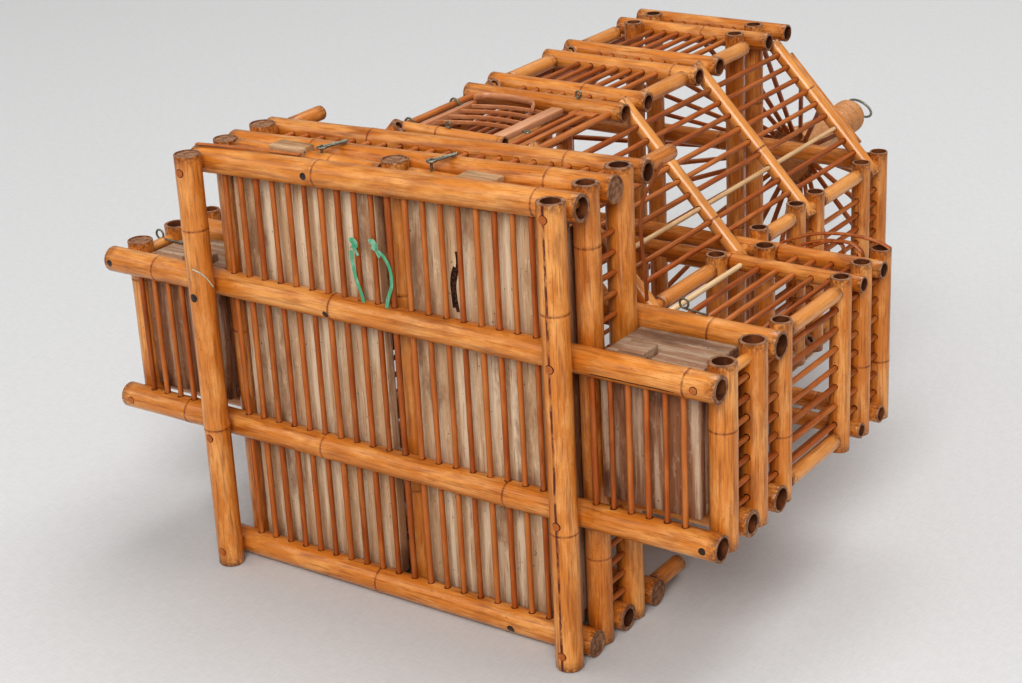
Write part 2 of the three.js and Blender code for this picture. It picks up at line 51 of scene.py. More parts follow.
bl_info = {
    "name": "Bamboo birdcage",
    "version": (1, 0, 0),
    "blender": (4, 5, 0),
    "location": "3D View > Sidebar > Birdcage",
    "description": "Builds an old bamboo birdcage that lies on its side",
    "category": "Object",
}

WIDE = Vector((1, 0, 0))
UPRIGHT = Vector((0, 1, 0))
DEEP = Vector((0, 0, 1))
SIDES = (("left", -1), ("right", 1))
FACES = (("upper", 1), ("lower", -1))
draw = random.Random(11)


# Measures of the frame

def span(node, axis):
    low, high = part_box(node)
    return high[axis] - low[axis]


def middle(node):
    low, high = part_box(node)
    return (low + high) / 2


GAP = 0.0003
LYING = middle("side_wall_left").z  # height of the cage's middle over the plane it lies on
BASE = middle("tray_post_middle").y - 0.0223  # height of the base rails
ROUND_TO_SQUARE = math.sqrt(math.pi) / 2  # half a square's side over the radius of the same area
GRILLE_RODS = 20
WALL_RODS = 7
SLANTED_RODS = 9
WING_RODS = 6
WING_PITCH = 0.015
SCREEN_PITCH = 0.0156
FRAME_RODS = 6
FRAME_PITCH = 0.0155
SHORT_RODS = 2  # the first frame rods, which end at the head rail


class CageSizes(bpy.types.PropertyGroup):
    """Sizes of the canes and the plan of the cage"""
    base_cane: bpy.props.FloatProperty(
        name="Base cane", description="Radius of the thick rails and posts of the base",
        default=span("tray_post_middle", 1) / 2, unit="LENGTH", precision=4)
    wall_cane: bpy.props.FloatProperty(
        name="Wall cane", description="Radius of the rails and posts above the base",
        default=span("head_post_left", 1) / 2, unit="LENGTH", precision=4)
    spacer: bpy.props.FloatProperty(
        name="Spacer", description="Radius of the spacers round the corner bars",
        default=span("corner_bar_upper_left", 0) / math.sqrt(math.pi), unit="LENGTH", precision=4)
    pin: bpy.props.FloatProperty(
        name="Corner pin", description="Radius of the bars that pin the stack at its corners",
        default=0.0046, unit="LENGTH", precision=4)
    rod: bpy.props.FloatProperty(
        name="Rod", description="Radius of the thin rods", default=0.0023, unit="LENGTH", precision=4)
    bore: bpy.props.FloatProperty(
        name="Bore", description="Hollow of a cane, as a share of its radius", default=0.72)
    bore_depth: bpy.props.FloatProperty(
        name="Bore depth", description="How deep an open end shows its hollow",
        default=0.020, unit="LENGTH")
    slanted_cane: bpy.props.FloatProperty(
        name="Slanted cane", description="Radius of the slim slanted bars", default=0.0064,
        unit="LENGTH", precision=4)
    half_width: bpy.props.FloatProperty(
        name="Half width", description="From the middle to the outer wing posts",
        default=middle("wing_wall_right").x, unit="LENGTH")
    half_body: bpy.props.FloatProperty(
        name="Half body", description="From the middle to the main posts",
        default=middle("foot_post_right").x, unit="LENGTH")
    half_wing: bpy.props.FloatProperty(
        name="Half wing", description="From the middle to the wing rails, in depth",
        default=middle("wing_floor_rail_upper").z - LYING, unit="LENGTH")
    end: bpy.props.FloatProperty(
        name="Overhang", description="How far a rail runs past the axis of its corner bar",
        default=0.011, unit="LENGTH")
    pin_end: bpy.props.FloatProperty(
        name="Slanted overhang", description="How far a slanted bar runs past its pins",
        default=0.008, unit="LENGTH")
    base_pitch: bpy.props.FloatProperty(
        name="Base rod pitch", description="Between the rods of the base", default=0.016, unit="LENGTH")
    slant_pitch: bpy.props.FloatProperty(
        name="Slanted rod pitch", description="Between the rods of the slanted walls",
        default=0.0138, unit="LENGTH")
    flat_pitch: bpy.props.FloatProperty(
        name="Flat rod pitch", description="Between the rods of the flat and side walls",
        default=0.013, unit="LENGTH")
    crown: bpy.props.FloatProperty(
        name="Crown", description="From the head rails up to the lower crown rails",
        default=0.119, unit="LENGTH")


class CageColours(bpy.types.PropertyGroup):
    """Colours of the cage's materials"""
    skin_light: bpy.props.FloatVectorProperty(
        name="Skin, light", description="Pale patches of the varnished bamboo",
        default=(0.76, 0.385, 0.13), size=3, subtype="COLOR", min=0, max=1)
    skin: bpy.props.FloatVectorProperty(
        name="Skin", description="Varnished bamboo", default=(0.57, 0.212, 0.034), size=3,
        subtype="COLOR", min=0, max=1)
    skin_dark: bpy.props.FloatVectorProperty(
        name="Skin, dark", description="Red-brown stains of the bamboo",
        default=(0.17, 0.036, 0.006), size=3, subtype="COLOR", min=0, max=1)
    rod: bpy.props.FloatVectorProperty(
        name="Rod", description="Split and rounded rods", default=(0.40, 0.112, 0.022), size=3,
        subtype="COLOR", min=0, max=1)
    board: bpy.props.FloatVectorProperty(
        name="Board", description="Weathered wood of the boards", default=(0.58, 0.40, 0.25),
        size=3, subtype="COLOR", min=0, max=1)
    tray: bpy.props.FloatVectorProperty(
        name="Tray", description="Darker wood of the trays in the wings", default=(0.32, 0.155, 0.08),
        size=3, subtype="COLOR", min=0, max=1)
    turned: bpy.props.FloatVectorProperty(
        name="Turned wood", description="Finial", default=(0.60, 0.30, 0.13), size=3,
        subtype="COLOR", min=0, max=1)
    tie: bpy.props.FloatVectorProperty(
        name="Tie", description="Green plastic tie", default=(0.09, 0.34, 0.19), size=3,
        subtype="COLOR", min=0, max=1)
    floor: bpy.props.FloatVectorProperty(
        name="Floor", description="Pale cloth under the cage", default=(0.63, 0.63, 0.63), size=3,
        subtype="COLOR", min=0, max=1)


def plan():
    """All sizes in one place: the user's own, and the heights that follow from the frame."""
    user = bpy.context.scene.cage_sizes
    sizes = SimpleNamespace(**{name: getattr(user, name) for name in CageSizes.__annotations__})
    step = 2 * sizes.wall_cane + GAP
    sizes.foot_post = middle("foot_post_left").y
    sizes.tray_post = middle("tray_post_middle").y
    sizes.base_rail = sizes.tray_post - 2 * sizes.base_cane - GAP
    sizes.tray_rail = middle("wing_tray_rail").y
    sizes.floor_post = middle("floor_post_left").y
    sizes.floor_rail = middle("floor_rail_lower").y
    sizes.floor_top = sizes.floor_rail + sizes.base_cane + GAP
    sizes.sill = sizes.floor_top + sizes.wall_cane
    sizes.head_post = middle("head_post_left").y
    sizes.head_rail = sizes.head_post + step
    sizes.eaves_post = middle("eaves_post_left").y
    sizes.eaves_rail = sizes.eaves_post + step
    sizes.wing_top = sizes.eaves_rail + step
    sizes.crown_low = sizes.head_rail + sizes.crown
    sizes.crown_tie = sizes.crown_low + step
    sizes.crown_high = sizes.crown_low + 2 * step
    sizes.top_post = middle("cross_post_low_left").y
    sizes.top_low = sizes.top_post + step
    sizes.top_tie = middle("cross_post_high_left").y
    sizes.top_high = middle("roof_beam_upper").y
    sizes.stub_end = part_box("corner_bar_upper_left")[1].y
    sizes.half_depth = LYING - sizes.base_cane
    sizes.rack = middle("corner_bar_upper_right").z - LYING - sizes.half_depth
    sizes.crown_half = span("flat_wall_upper", 0) / 2 - sizes.end
    sizes.flat_depth = middle("flat_wall_upper").z - LYING
    sizes.first_frame_rod = sizes.half_body + wall_corner(sizes) + sizes.rod * ROUND_TO_SQUARE + 0.003
    return sizes


def wall_corner(sizes):
    """Half the width of a wall cane's six-sided section in the frame."""
    return sizes.wall_cane / math.cos(math.pi / 6)


def at(width, height, depth):
    """A place from the cage's own width, height and depth."""
    return Vector((width, height, depth + LYING))


def spread(count, pitch):
    return [(index - (count - 1) / 2) * pitch for index in range(count)]


# Node trees

COLOUR = "NodeSocketColor"
FLOAT = "NodeSocketFloat"
VECTOR = "NodeSocketVector"


class Tree:
    """Short calls to build a node tree."""

    def __init__(self, tree):
        self.tree = tree

    def node(self, kind, **settings):
        made = self.tree.nodes.new(kind)
        for name, value in settings.items():
            setattr(made, name, value)
        return made

    def feed(self, socket, value):
        if isinstance(value, bpy.types.NodeSocket):
            self.tree.links.new(value, socket)
        else:
            socket.default_value = value

    def give(self, made, **values):
        for name, value in values.items():
            self.feed(made.inputs[name], value)
        return made

    def fed(self, made, *values):
        """Feeds the first inputs of a node, in order, and returns its first output."""
        for socket, value in zip(made.inputs, values):
            self.feed(socket, value)
        return made.outputs[0]

    def math(self, operation, *values, clamp=False):
        return self.fed(self.node("ShaderNodeMath", operation=operation, use_clamp=clamp), *values)

    def times(self, first, second, clamp=False):
        return self.math("MULTIPLY", first, second, clamp=clamp)

    def plus(self, first, second):
        return self.math("ADD", first, second)

    def minus(self, first, second):
        return self.math("SUBTRACT", first, second)

    def total(self, start, *terms):
        """The start value plus each term times its weight."""
        for value, weight in terms:
            start = self.math("MULTIPLY_ADD", value, weight, start)
        return start

    def vector(self, operation, first, second):
        return self.fed(self.node("ShaderNodeVectorMath", operation=operation), first, second)

    def parts(self, value):
        made = self.node("ShaderNodeSeparateXYZ")
        self.fed(made, value)
        return made.outputs

    def noise(self, place, scale, detail=3.0, rough=0.55, stretch=None):
        if stretch:
            place = self.vector("MULTIPLY", place, stretch)
        made = self.node("ShaderNodeTexNoise")
        self.give(made, Vector=place, Scale=scale, Detail=detail, Roughness=rough)
        return made.outputs["Fac"]

    def span(self, value, low, high, top=1.0):
        """0 below low, top above high, smooth between them."""
        made = self.node("ShaderNodeMapRange", interpolation_type="SMOOTHSTEP")
        for name, number in (("Value", value), ("From Min", low), ("From Max", high), ("To Max", top)):
            self.feed(made.inputs[name], number)
        return made.outputs["Result"]

    def mix(self, share, first, second):
        made = self.node("ShaderNodeMix", data_type="RGBA")
        return self.give(made, Factor=share, A=first, B=second).outputs["Result"]

    def attribute(self, name, output="Fac"):
        return self.node("ShaderNodeAttribute", attribute_name=name).outputs[output]

    def place(self):
        return self.node("ShaderNodeTexCoord").outputs["Object"]


def new_group(name, inputs, outputs):
    group = bpy.data.node_groups.new(name, "ShaderNodeTree")
    for way, sockets in (("INPUT", inputs), ("OUTPUT", outputs)):
        for label, kind in sockets:
            group.interface.new_socket(name=label, in_out=way, socket_type=kind)
    tree = Tree(group)
    source = tree.node("NodeGroupInput")
    return group, tree, list(source.outputs)[:len(inputs)], tree.node("NodeGroupOutput")


SURFACE = [("Colour", COLOUR), ("Roughness", FLOAT), ("Height", FLOAT)]
SEED_STRIDES = (1.7, 2.9, 3.3)  # how far a cane's seed moves its pattern along each axis


def grain_group():
    """Bamboo grain: fibres along the cane, varnish patches, node rings, stains, and painted shade in the
    drilled holes.
    """
    group, tree, (light, body, dark, patches, fibres), target = new_group(
        "Bamboo grain",
        [("Light", COLOUR), ("Middle", COLOUR), ("Dark", COLOUR), ("Patches", FLOAT), ("Fibres", FLOAT)],
        SURFACE)
    space = tree.attribute("cane_space", "Vector")
    seed, tone, ring, end = (tree.attribute(f"cane_{name}") for name in ("seed", "tone", "ring", "end"))
    shifts = [tree.times(seed, stride) for stride in SEED_STRIDES]
    place = tree.vector("ADD", space, tree.fed(tree.node("ShaderNodeCombineXYZ"), *shifts))
    streak = tree.noise(place, 1100.0, stretch=(1, 1, 0.03))
    broad = tree.noise(place, 260.0, 2.0, stretch=(1, 1, 0.10))
    patch = tree.noise(place, 70.0, 5.0, 0.65, (1, 1, 0.30))
    stain = tree.noise(place, 34.0, 4.0, 0.6, (1, 1, 0.4))
    speck = tree.noise(place, 420.0, 2.0)
    # Varnish patches, then fine and broad fibres, stains and specks
    colour = tree.mix(tree.span(patch, 0.42, 0.66, patches), body, light)
    fibre = tree.span(streak, 0.50, 0.72, fibres)
    band = tree.span(broad, 0.50, 0.70, fibres)
    mottle = tree.span(stain, 0.56, 0.70, 0.40)
    for mask in (tree.times(fibre, 0.50), tree.times(band, 0.42), mottle, tree.span(speck, 0.66, 0.76, 0.45)):
        colour = tree.mix(mask, colour, dark)
    # Each cane's own tone: paler above zero, darker below
    colour = tree.mix(tree.times(tree.math("MAXIMUM", tone, 0.0), 0.9, clamp=True), colour, light)
    colour = tree.mix(tree.times(tree.math("MINIMUM", tone, 0.0), -0.75), colour, dark)
    # Node rings
    worn = tree.plus(0.5, tree.span(broad, 0.36, 0.62, 0.5))
    ringed = tree.times(tree.span(ring, 0.15, 1.0), worn, clamp=True)
    colour = tree.mix(tree.times(ringed, 0.8), colour, dark)
    # Sawn ends are browned by handling
    browned = tree.times(end, tree.span(speck, 0.30, 0.62, 0.8), clamp=True)
    colour = tree.mix(browned, colour, (0.10, 0.030, 0.010, 1))
    # A dark red groove, then painted shade in the holes that the rods and pegs go through
    colour = tree.mix(groove_mask(tree, space, streak), colour, (0.11, 0.016, 0.006, 1))
    rim = tree.math("MAXIMUM", hole_shade_mask(tree, space), single_hole_shade_mask(tree, space))
    colour = tree.mix(rim, colour, (0.030, 0.011, 0.004, 1))
    tree.give(target, Colour=colour, Roughness=tree.total(0.24, (patch, 0.20), (fibre, 0.10), (ringed, 0.25)),
              Height=tree.total(0.0, (streak, 0.5), (broad, 0.8), (speck, 0.25), (rim, -1.5)))
    return group


HOLE_FADE = 0.0004


def circle_mask(tree, first, second, radius):
    """1 within a radius of the middle of a hole."""
    far = tree.math("SQRT", tree.plus(tree.times(first, first), tree.times(second, second)))
    return tree.minus(1.0, tree.span(far, tree.minus(radius, HOLE_FADE), radius))


def hole_shade_mask(tree, space):
    """1 in the drilled holes, where the shade is painted dark: they are evenly spaced along a cane, from
    first, a pitch apart.
    """
    pitch, first, count = tree.parts(tree.attribute("hole_plan", "Vector"))
    across, outward, along = tree.parts(space)
    pitch = tree.math("MAXIMUM", pitch, 0.001)
    run = tree.minus(along, first)
    index = tree.math("ROUND", tree.math("DIVIDE", run, pitch))
    index = tree.math("MINIMUM", tree.math("MAXIMUM", index, 0.0), tree.minus(count, 1.0))
    off = tree.minus(run, tree.times(index, pitch))
    inside = circle_mask(tree, off, across, tree.attribute("hole_size"))
    facing = tree.math("GREATER_THAN", tree.times(outward, tree.attribute("hole_side")), -0.0001)
    return tree.times(tree.times(inside, facing), tree.math("GREATER_THAN", count, 0.5))


def single_hole_shade_mask(tree, space):
    """1 in the one hole that this part of a cane has, at its place and angle, where the shade is painted
    dark.
    """
    place, angle, radius = tree.parts(tree.attribute("hole_single", "Vector"))
    across, outward, along = tree.parts(space)
    cosine, sine = tree.math("COSINE", angle), tree.math("SINE", angle)
    aside = tree.minus(tree.times(outward, cosine), tree.times(across, sine))
    toward = tree.plus(tree.times(across, cosine), tree.times(outward, sine))
    inside = circle_mask(tree, tree.minus(along, place), aside, radius)
    inside = tree.times(inside, tree.math("GREATER_THAN", toward, 0.0))
    return tree.times(inside, tree.math("GREATER_THAN", radius, 0.0005))


def groove_mask(tree, space, streak):
    """1 in a rough groove along the back of a cane, where the cane has one."""
    across, outward, _ = tree.parts(space)
    off = tree.math("ABSOLUTE", tree.plus(across, tree.times(tree.minus(streak, 0.5), 0.003)))
    inside = tree.minus(1.0, tree.span(off, 0.0005, 0.0015))
    broken = tree.noise(space, 210.0, 4.0, 0.7, (1, 1, 0.3))
    inside = tree.times(inside, tree.plus(tree.span(broken, 0.40, 0.55, 0.7), 0.3))
    inside = tree.times(inside, tree.math("LESS_THAN", outward, 0.0))
    return tree.times(inside, tree.attribute("groove"))


def weather_group():
    """Bare weathered wood: grain along one direction, pale worn streaks and dark stains."""
    group, tree, (place, base, pale, deep, stains), target = new_group(
        "Weathered wood",
        [("Place", VECTOR), ("Colour", COLOUR), ("Pale", COLOUR), ("Dark", COLOUR), ("Stains", FLOAT)],
        SURFACE)
    grain = tree.noise(place, 760.0, 4.0, 0.6, (1, 1, 0.04))
    strip = tree.noise(place, 130.0, 4.0, stretch=(1, 1, 0.06))
    blotch = tree.noise(place, 30.0, 5.0, 0.65, (1, 1, 0.4))
    fleck = tree.noise(place, 330.0, 4.0, 0.7, (1, 1, 0.35))
    spot = tree.noise(place, 300.0, 2.0)
    colour = tree.mix(tree.span(strip, 0.44, 0.62, 0.75), base, pale)
    colour = tree.mix(tree.span(fleck, 0.54, 0.70, 0.5), colour, pale)
    colour = tree.mix(tree.span(grain, 0.53, 0.72, 0.6), colour, deep)
    colour = tree.mix(tree.span(blotch, 0.52, 0.68, stains), colour, deep)
    colour = tree.mix(tree.span(spot, 0.68, 0.76, 0.7), colour, (0.06, 0.03, 0.015, 1))
    tree.give(target, Colour=colour, Roughness=tree.total(0.70, (grain, 0.25)),
              Height=tree.total(0.0, (grain, 1.0), (strip, 0.6), (fleck, 0.5)))
    return group


def new_material(name):
    material = bpy.data.materials.new(name)
    material.use_nodes = True
    return material, Tree(material.node_tree), material.node_tree.nodes["Principled BSDF"]


def finish(tree, shader, colour, rough, height, depth, strength):
    """Feeds a shader its colour and roughness, and a bump of the given depth in metres."""
    tree.feed(shader.inputs["Base Color"], colour)
    tree.feed(shader.inputs["Roughness"], rough)
    made = tree.give(tree.node("ShaderNodeBump"), Distance=depth, Strength=strength, Height=height)
    tree.feed(shader.inputs["Normal"], made.outputs["Normal"])


def opaque(colour):
    return (*colour, 1.0)


def shaded(colour, share, lift=0.0):
    return [share * part + lift for part in colour]


def bamboo_material(name, grain, light, body, dark, patches, fibres, coat):
    material, tree, shader = new_material(name)
    look = tree.node("ShaderNodeGroup", node_tree=grain)
    tree.fed(look, opaque(light), opaque(body), opaque(dark), patches, fibres)
    shader.inputs["Coat Weight"].default_value = coat
    shader.inputs["Coat Roughness"].default_value = 0.22
    shader.inputs["Specular IOR Level"].default_value = 0.4
    finish(tree, shader, *look.outputs, 0.00035, 0.55)
    return material


def noise_material(name, first, second, scale, rough, depth=0.0003, metal=0.0, stretch=(1, 1, 1)):
    """Two colours mixed by noise on the piece's own coordinates."""
    material, tree, shader = new_material(name)
    fine = tree.noise(tree.place(), scale, 4.0, 0.6, stretch)
    shader.inputs["Metallic"].default_value = metal
    colour = tree.mix(tree.span(fine, 0.4, 0.62), opaque(first), opaque(second))
    finish(tree, shader, colour, tree.total(rough, (fine, 0.2)), fine, depth, 0.5)
    return material


def cut_material():
    """Sawn end of a cane: pale wall with dark fibre dots, browned with age."""
    material, tree, shader = new_material("Sawn bamboo")
    space = tree.attribute("cane_space", "Vector")
    flat = tree.vector("MULTIPLY", space, (1, 1, 0))
    dots = tree.give(tree.node("ShaderNodeTexVoronoi"), Vector=flat, Scale=1500.0)
    dot = tree.minus(1.0, tree.span(dots.outputs["Distance"], 0.15, 0.45))
    cloud = tree.noise(space, 260.0)
    colour = tree.mix(tree.span(cloud, 0.35, 0.65), (0.20, 0.092, 0.046, 1), (0.38, 0.22, 0.130, 1))
    colour = tree.mix(tree.times(dot, 0.6), colour, (0.12, 0.05, 0.025, 1))
    finish(tree, shader, colour, tree.total(0.55, (cloud, 0.3)), dot, 0.0001, 0.5)
    return material


def wood_material(name, weather, colour, pale, dark, stains, wide=False, depth=0.0008):
    """Weathered wood. Its grain runs along the depth of the cage, or along its width."""
    material, tree, shader = new_material(name)
    place = tree.place()
    if wide:
        turned = tree.node("ShaderNodeMapping")
        turned.inputs["Rotation"].default_value = (0, math.pi / 2, 0)
        place = tree.fed(turned, place)
    look = tree.node("ShaderNodeGroup", node_tree=weather)
    tree.fed(look, place, opaque(colour), opaque(pale), opaque(dark), stains)
    finish(tree, shader, *look.outputs, depth, 0.8)
    return material


def plastic_material(colour):
    """Soft plastic, bleached in places."""
    material, tree, shader = new_material("Green plastic")
    fine = tree.noise(tree.place(), 300.0, stretch=(1, 1, 0.3))
    tint = tree.mix(tree.span(fine, 0.45, 0.65), opaque(colour), opaque(shaded(colour, 0.7, 0.20)))
    finish(tree, shader, tint, tree.total(0.28, (fine, 0.15)), fine, 0.0005, 0.6)
    return material


def floor_material(colour):
    """Pale linen: a fine weave that hardly shows."""
    material, tree, shader = new_material("Pale linen")
    place = tree.place()
    warp = tree.noise(place, 620.0, 2.0, stretch=(1, 0.12, 1))
    weft = tree.noise(place, 620.0, 2.0, stretch=(0.12, 1, 1))
    weave = tree.times(tree.plus(warp, weft), 0.5)
    tint = tree.mix(tree.span(weave, 0.42, 0.58), opaque(shaded(colour, 0.955)), opaque(colour))
    finish(tree, shader, tint, tree.total(0.8, (weave, 0.1)), weave, 0.0003, 0.3)
    return material


MATERIALS = {}


def materials():
    """All materials by name, made once."""
    if MATERIALS:
        return MATERIALS
    tints = bpy.context.scene.cage_colours
    grain = grain_group()
    weather = weather_group()
    pale_rod = [0.5 * (part + other) for part, other in zip(tints.rod, tints.skin_light)]
    MATERIALS.update(
        skin=bamboo_material(
            "Varnished bamboo", grain, tints.skin_light, tints.skin, tints.skin_dark, 0.82, 1.0, 0.6),
        rod=bamboo_material(
            "Split bamboo", grain, pale_rod, tints.rod, shaded(tints.rod, 0.42), 0.5, 1.0, 0.10),
        pale=bamboo_material(
            "Pale bamboo", grain, (0.80, 0.64, 0.42), (0.68, 0.47, 0.26), (0.36, 0.17, 0.07), 0.5, 0.6, 0.10),
        slat=bamboo_material("Split slat", grain, (0.68, 0.39, 0.235), (0.52, 0.235, 0.110),
                             (0.26, 0.085, 0.035), 0.6, 0.8, 0.15),
        cut=cut_material(),
        # Inside of the bore: the bamboo's brown, darkened with painted shade
        hollow=noise_material("Hollow of the cane with painted shade", (0.09, 0.030, 0.010), (0.22, 0.078, 0.024), 60, 0.6),
        # Painted shade: near-black brown for the split in a rail and the cracks in a board
        gap=noise_material("Painted shade of cracks", (0.018, 0.008, 0.004), (0.11, 0.052, 0.028), 420, 0.9),
        board=wood_material(
            "Weathered board", weather, tints.board, (0.80, 0.68, 0.52), (0.24, 0.10, 0.045), 0.62),
        batten=wood_material("Weathered batten", weather, (0.42, 0.25, 0.13), (0.60, 0.42, 0.27),
                             (0.16, 0.07, 0.03), 0.5, wide=True),
        tray=wood_material("Dark weathered board", weather, tints.tray, (0.60, 0.46, 0.34),
                           (0.10, 0.035, 0.02), 0.75, depth=0.0012),
        plank=wood_material("Weathered plank", weather, (0.33, 0.195, 0.12), (0.50, 0.38, 0.28),
                            (0.11, 0.05, 0.028), 0.6, wide=True, depth=0.0016),
        turned=noise_material("Turned wood", tints.turned, shaded(tints.turned, 0.66), 1500, 0.42,
                              depth=0.0001, stretch=(1, 0.05, 1)),
        wire=noise_material("Dull wire", (0.34, 0.33, 0.27), (0.15, 0.14, 0.11), 900, 0.38, metal=0.7),
        tie=plastic_material(tints.tie),
        string=noise_material("Old string", (0.42, 0.42, 0.34), (0.62, 0.60, 0.50), 1500, 0.8),
    )
    return MATERIALS


# Canes and rods

BORE_EDGE = 0.0006
CLOSED_BORE = 0.84
CLOSED_DEPTH = 0.0009
END_STAIN = 0.009
SINGLE_EDGE = 0.0012
THICK = 0.0095  # radius from which a cane has the larger holes
SMOOTH_ANGLE = math.radians(38)
RING_SPACING = (0.13, 0.26)
PLAIN_STEP = 0.045  # length of a plain stretch between two rings of edges
SKIN = 0.965  # radius of a cane's skin, as a share of its node rings'
RING_SHAPE = (  # rise along the cane, radius as a share, and how much it belongs to the ring
    (-0.0110, SKIN, 0.0), (-0.0035, SKIN * 1.012, 0.0), (-0.0014, 0.997, 0.2), (-0.0006, 0.972, 1.0),
    (0.0002, 0.962, 1.0), (0.0010, 1.0, 0.2), (0.0030, SKIN * 1.012, 0.0), (0.0110, SKIN, 0.0),
)


def cane_profile(length, radius, bores, rings, depths, stops):
    """Distance along the cane and radius of each ring of edges, with its share of a node ring."""
    half = length / 2
    first_bore, last_bore = (radius * share for share in bores)
    steps = [
        (depths[0] - half, first_bore, 0.0), (-half, first_bore, 0.0),
        (-half, radius * (SKIN - 0.03), 0.0), (BORE_EDGE - half, radius * SKIN, 0.0),
    ]
    body = [(ring + rise, radius * share, mark) for ring in rings for rise, share, mark in RING_SHAPE]
    if length > 3 * END_STAIN:
        stained = half - END_STAIN
        body += [(spot, radius * SKIN, 0.0) for spot in (-stained, stained)
                 if all(abs(spot - ring) > 0.012 for ring in rings)]
    spaces = max(1, round(length / PLAIN_STEP))
    for index in range(1, spaces):
        spot = -half + length * index / spaces
        if all(abs(spot - ring) > 0.015 for ring in rings) and abs(spot) < half - END_STAIN - 0.002:
            body.append((spot, radius * SKIN * (1 - 0.012 * draw.random()), 0.0))
    body += [(stop, radius * SKIN, 0.0) for stop in stops]
    steps += sorted(step for step in body if abs(step[0]) < half - 0.002)
    steps += [
        (half - BORE_EDGE, radius * SKIN, 0.0), (half, radius * (SKIN - 0.03), 0.0),
        (half, last_bore, 0.0), (half - depths[1], last_bore, 0.0),
    ]
    return steps


def grow(steps, sides, bow=(0.0, 0.0)):
    """A closed tube round Z, from the bottom of its first bore to that of its last."""
    bpy.ops.object.select_all(action="DESELECT")
    bpy.ops.mesh.primitive_circle_add(vertices=sides, radius=steps[0][1], fill_type="NGON")
    tube = bpy.context.object
    half = max(step[0] for step in steps)

    def centre(height):
        swell = 1 - (height / half) ** 2
        return bow[0] * swell, bow[1] * swell

    bpy.ops.object.mode_set(mode="EDIT")
    start = centre(steps[0][0])
    bpy.ops.transform.translate(value=(start[0], start[1], steps[0][0]))
    for (low, old, _), (high, new, _) in zip(steps, steps[1:]):
        (x0, y0), (x1, y1) = centre(low), centre(high)
        bpy.ops.mesh.extrude_region_move(
            TRANSFORM_OT_translate={"value": (x1 - x0, y1 - y0, high - low), "orient_type": "GLOBAL"})
        if abs(new - old) > 1e-7:
            share = new / old
            bpy.ops.transform.resize(value=(share, share, 1), center_override=(x1, y1, high))
    bpy.ops.mesh.select_all(action="SELECT")
    bpy.ops.mesh.normals_make_consistent(inside=False)
    bpy.ops.object.mode_set(mode="OBJECT")
    return tube


def points_of(mesh):
    places = np.empty(len(mesh.vertices) * 3, np.float32)
    mesh.vertices.foreach_get("co", places)
    return places.reshape(-1, 3)


def centres_of(mesh):
    centres = np.empty(len(mesh.polygons) * 3, np.float32)
    mesh.polygons.foreach_get("center", centres)
    return centres.reshape(-1, 3)


def note(mesh, name, values, kind="POINT"):
    """Keeps numbers or vectors on the points or faces of a mesh, for its material."""
    values = np.asarray(values, np.float32)
    vectors = values.ndim == 2
    layer = mesh.attributes.new(name, "FLOAT_VECTOR" if vectors else "FLOAT", kind)
    layer.data.foreach_set("vector" if vectors else "value", values.ravel())


def note_cane(mesh, places, tone, ring=None, ends=None, holes=(), singles=(), groove=0.0):
    """Notes for the bamboo grain."""
    count = len(mesh.vertices)
    note(mesh, "cane_space", places)
    note(mesh, "cane_seed", np.full(count, draw.random()))
    note(mesh, "cane_tone", np.full(count, tone))
    note(mesh, "cane_ring", np.zeros(count) if ring is None else ring)
    note(mesh, "cane_end", np.zeros(count) if ends is None else ends)
    faces = len(mesh.polygons)
    rows = np.zeros((faces, 3), np.float32)
    sides = np.zeros(faces, np.float32)
    alone = np.zeros((faces, 3), np.float32)
    if holes or singles:
        along = centres_of(mesh)[:, 2]
        for low, high, pitch, first, number, side in holes:
            there = (along > low) & (along < high)
            rows[there] = (pitch, first, number)
            sides[there] = side
        for place, angle, radius in singles:
            alone[abs(along - place) < radius + SINGLE_EDGE] = (place, math.radians(angle), radius)
    note(mesh, "hole_plan", rows, "FACE")
    note(mesh, "hole_side", sides, "FACE")
    thick = np.hypot(places[:, 0], places[:, 1]).max() > THICK
    note(mesh, "hole_size", np.full(faces, 0.0030 if thick else 0.0026), "FACE")
    note(mesh, "hole_single", alone, "FACE")
    note(mesh, "groove", np.full(faces, groove), "FACE")


def stand(piece, start, end, facing):
    """Turns a piece that stands along Z so that it runs from start to end."""
    along = (end - start).normalized()
    side = (facing - along * facing.dot(along)).normalized()
    across = side.cross(along)
    turn = Matrix((across, side, along)).transposed().to_4x4()
    piece.matrix_world = Matrix.Translation((start + end) / 2) @ turn @ piece.matrix_world


def ring_spots(length):
    """Places of a cane's node rings, 130 to 260 mm apart."""
    spots = []
    spot = -length / 2 + draw.uniform(0.05, 0.2)
    while spot < length / 2 - 0.018:
        spots.append(spot)
        spot += draw.uniform(*RING_SPACING)
    return spots


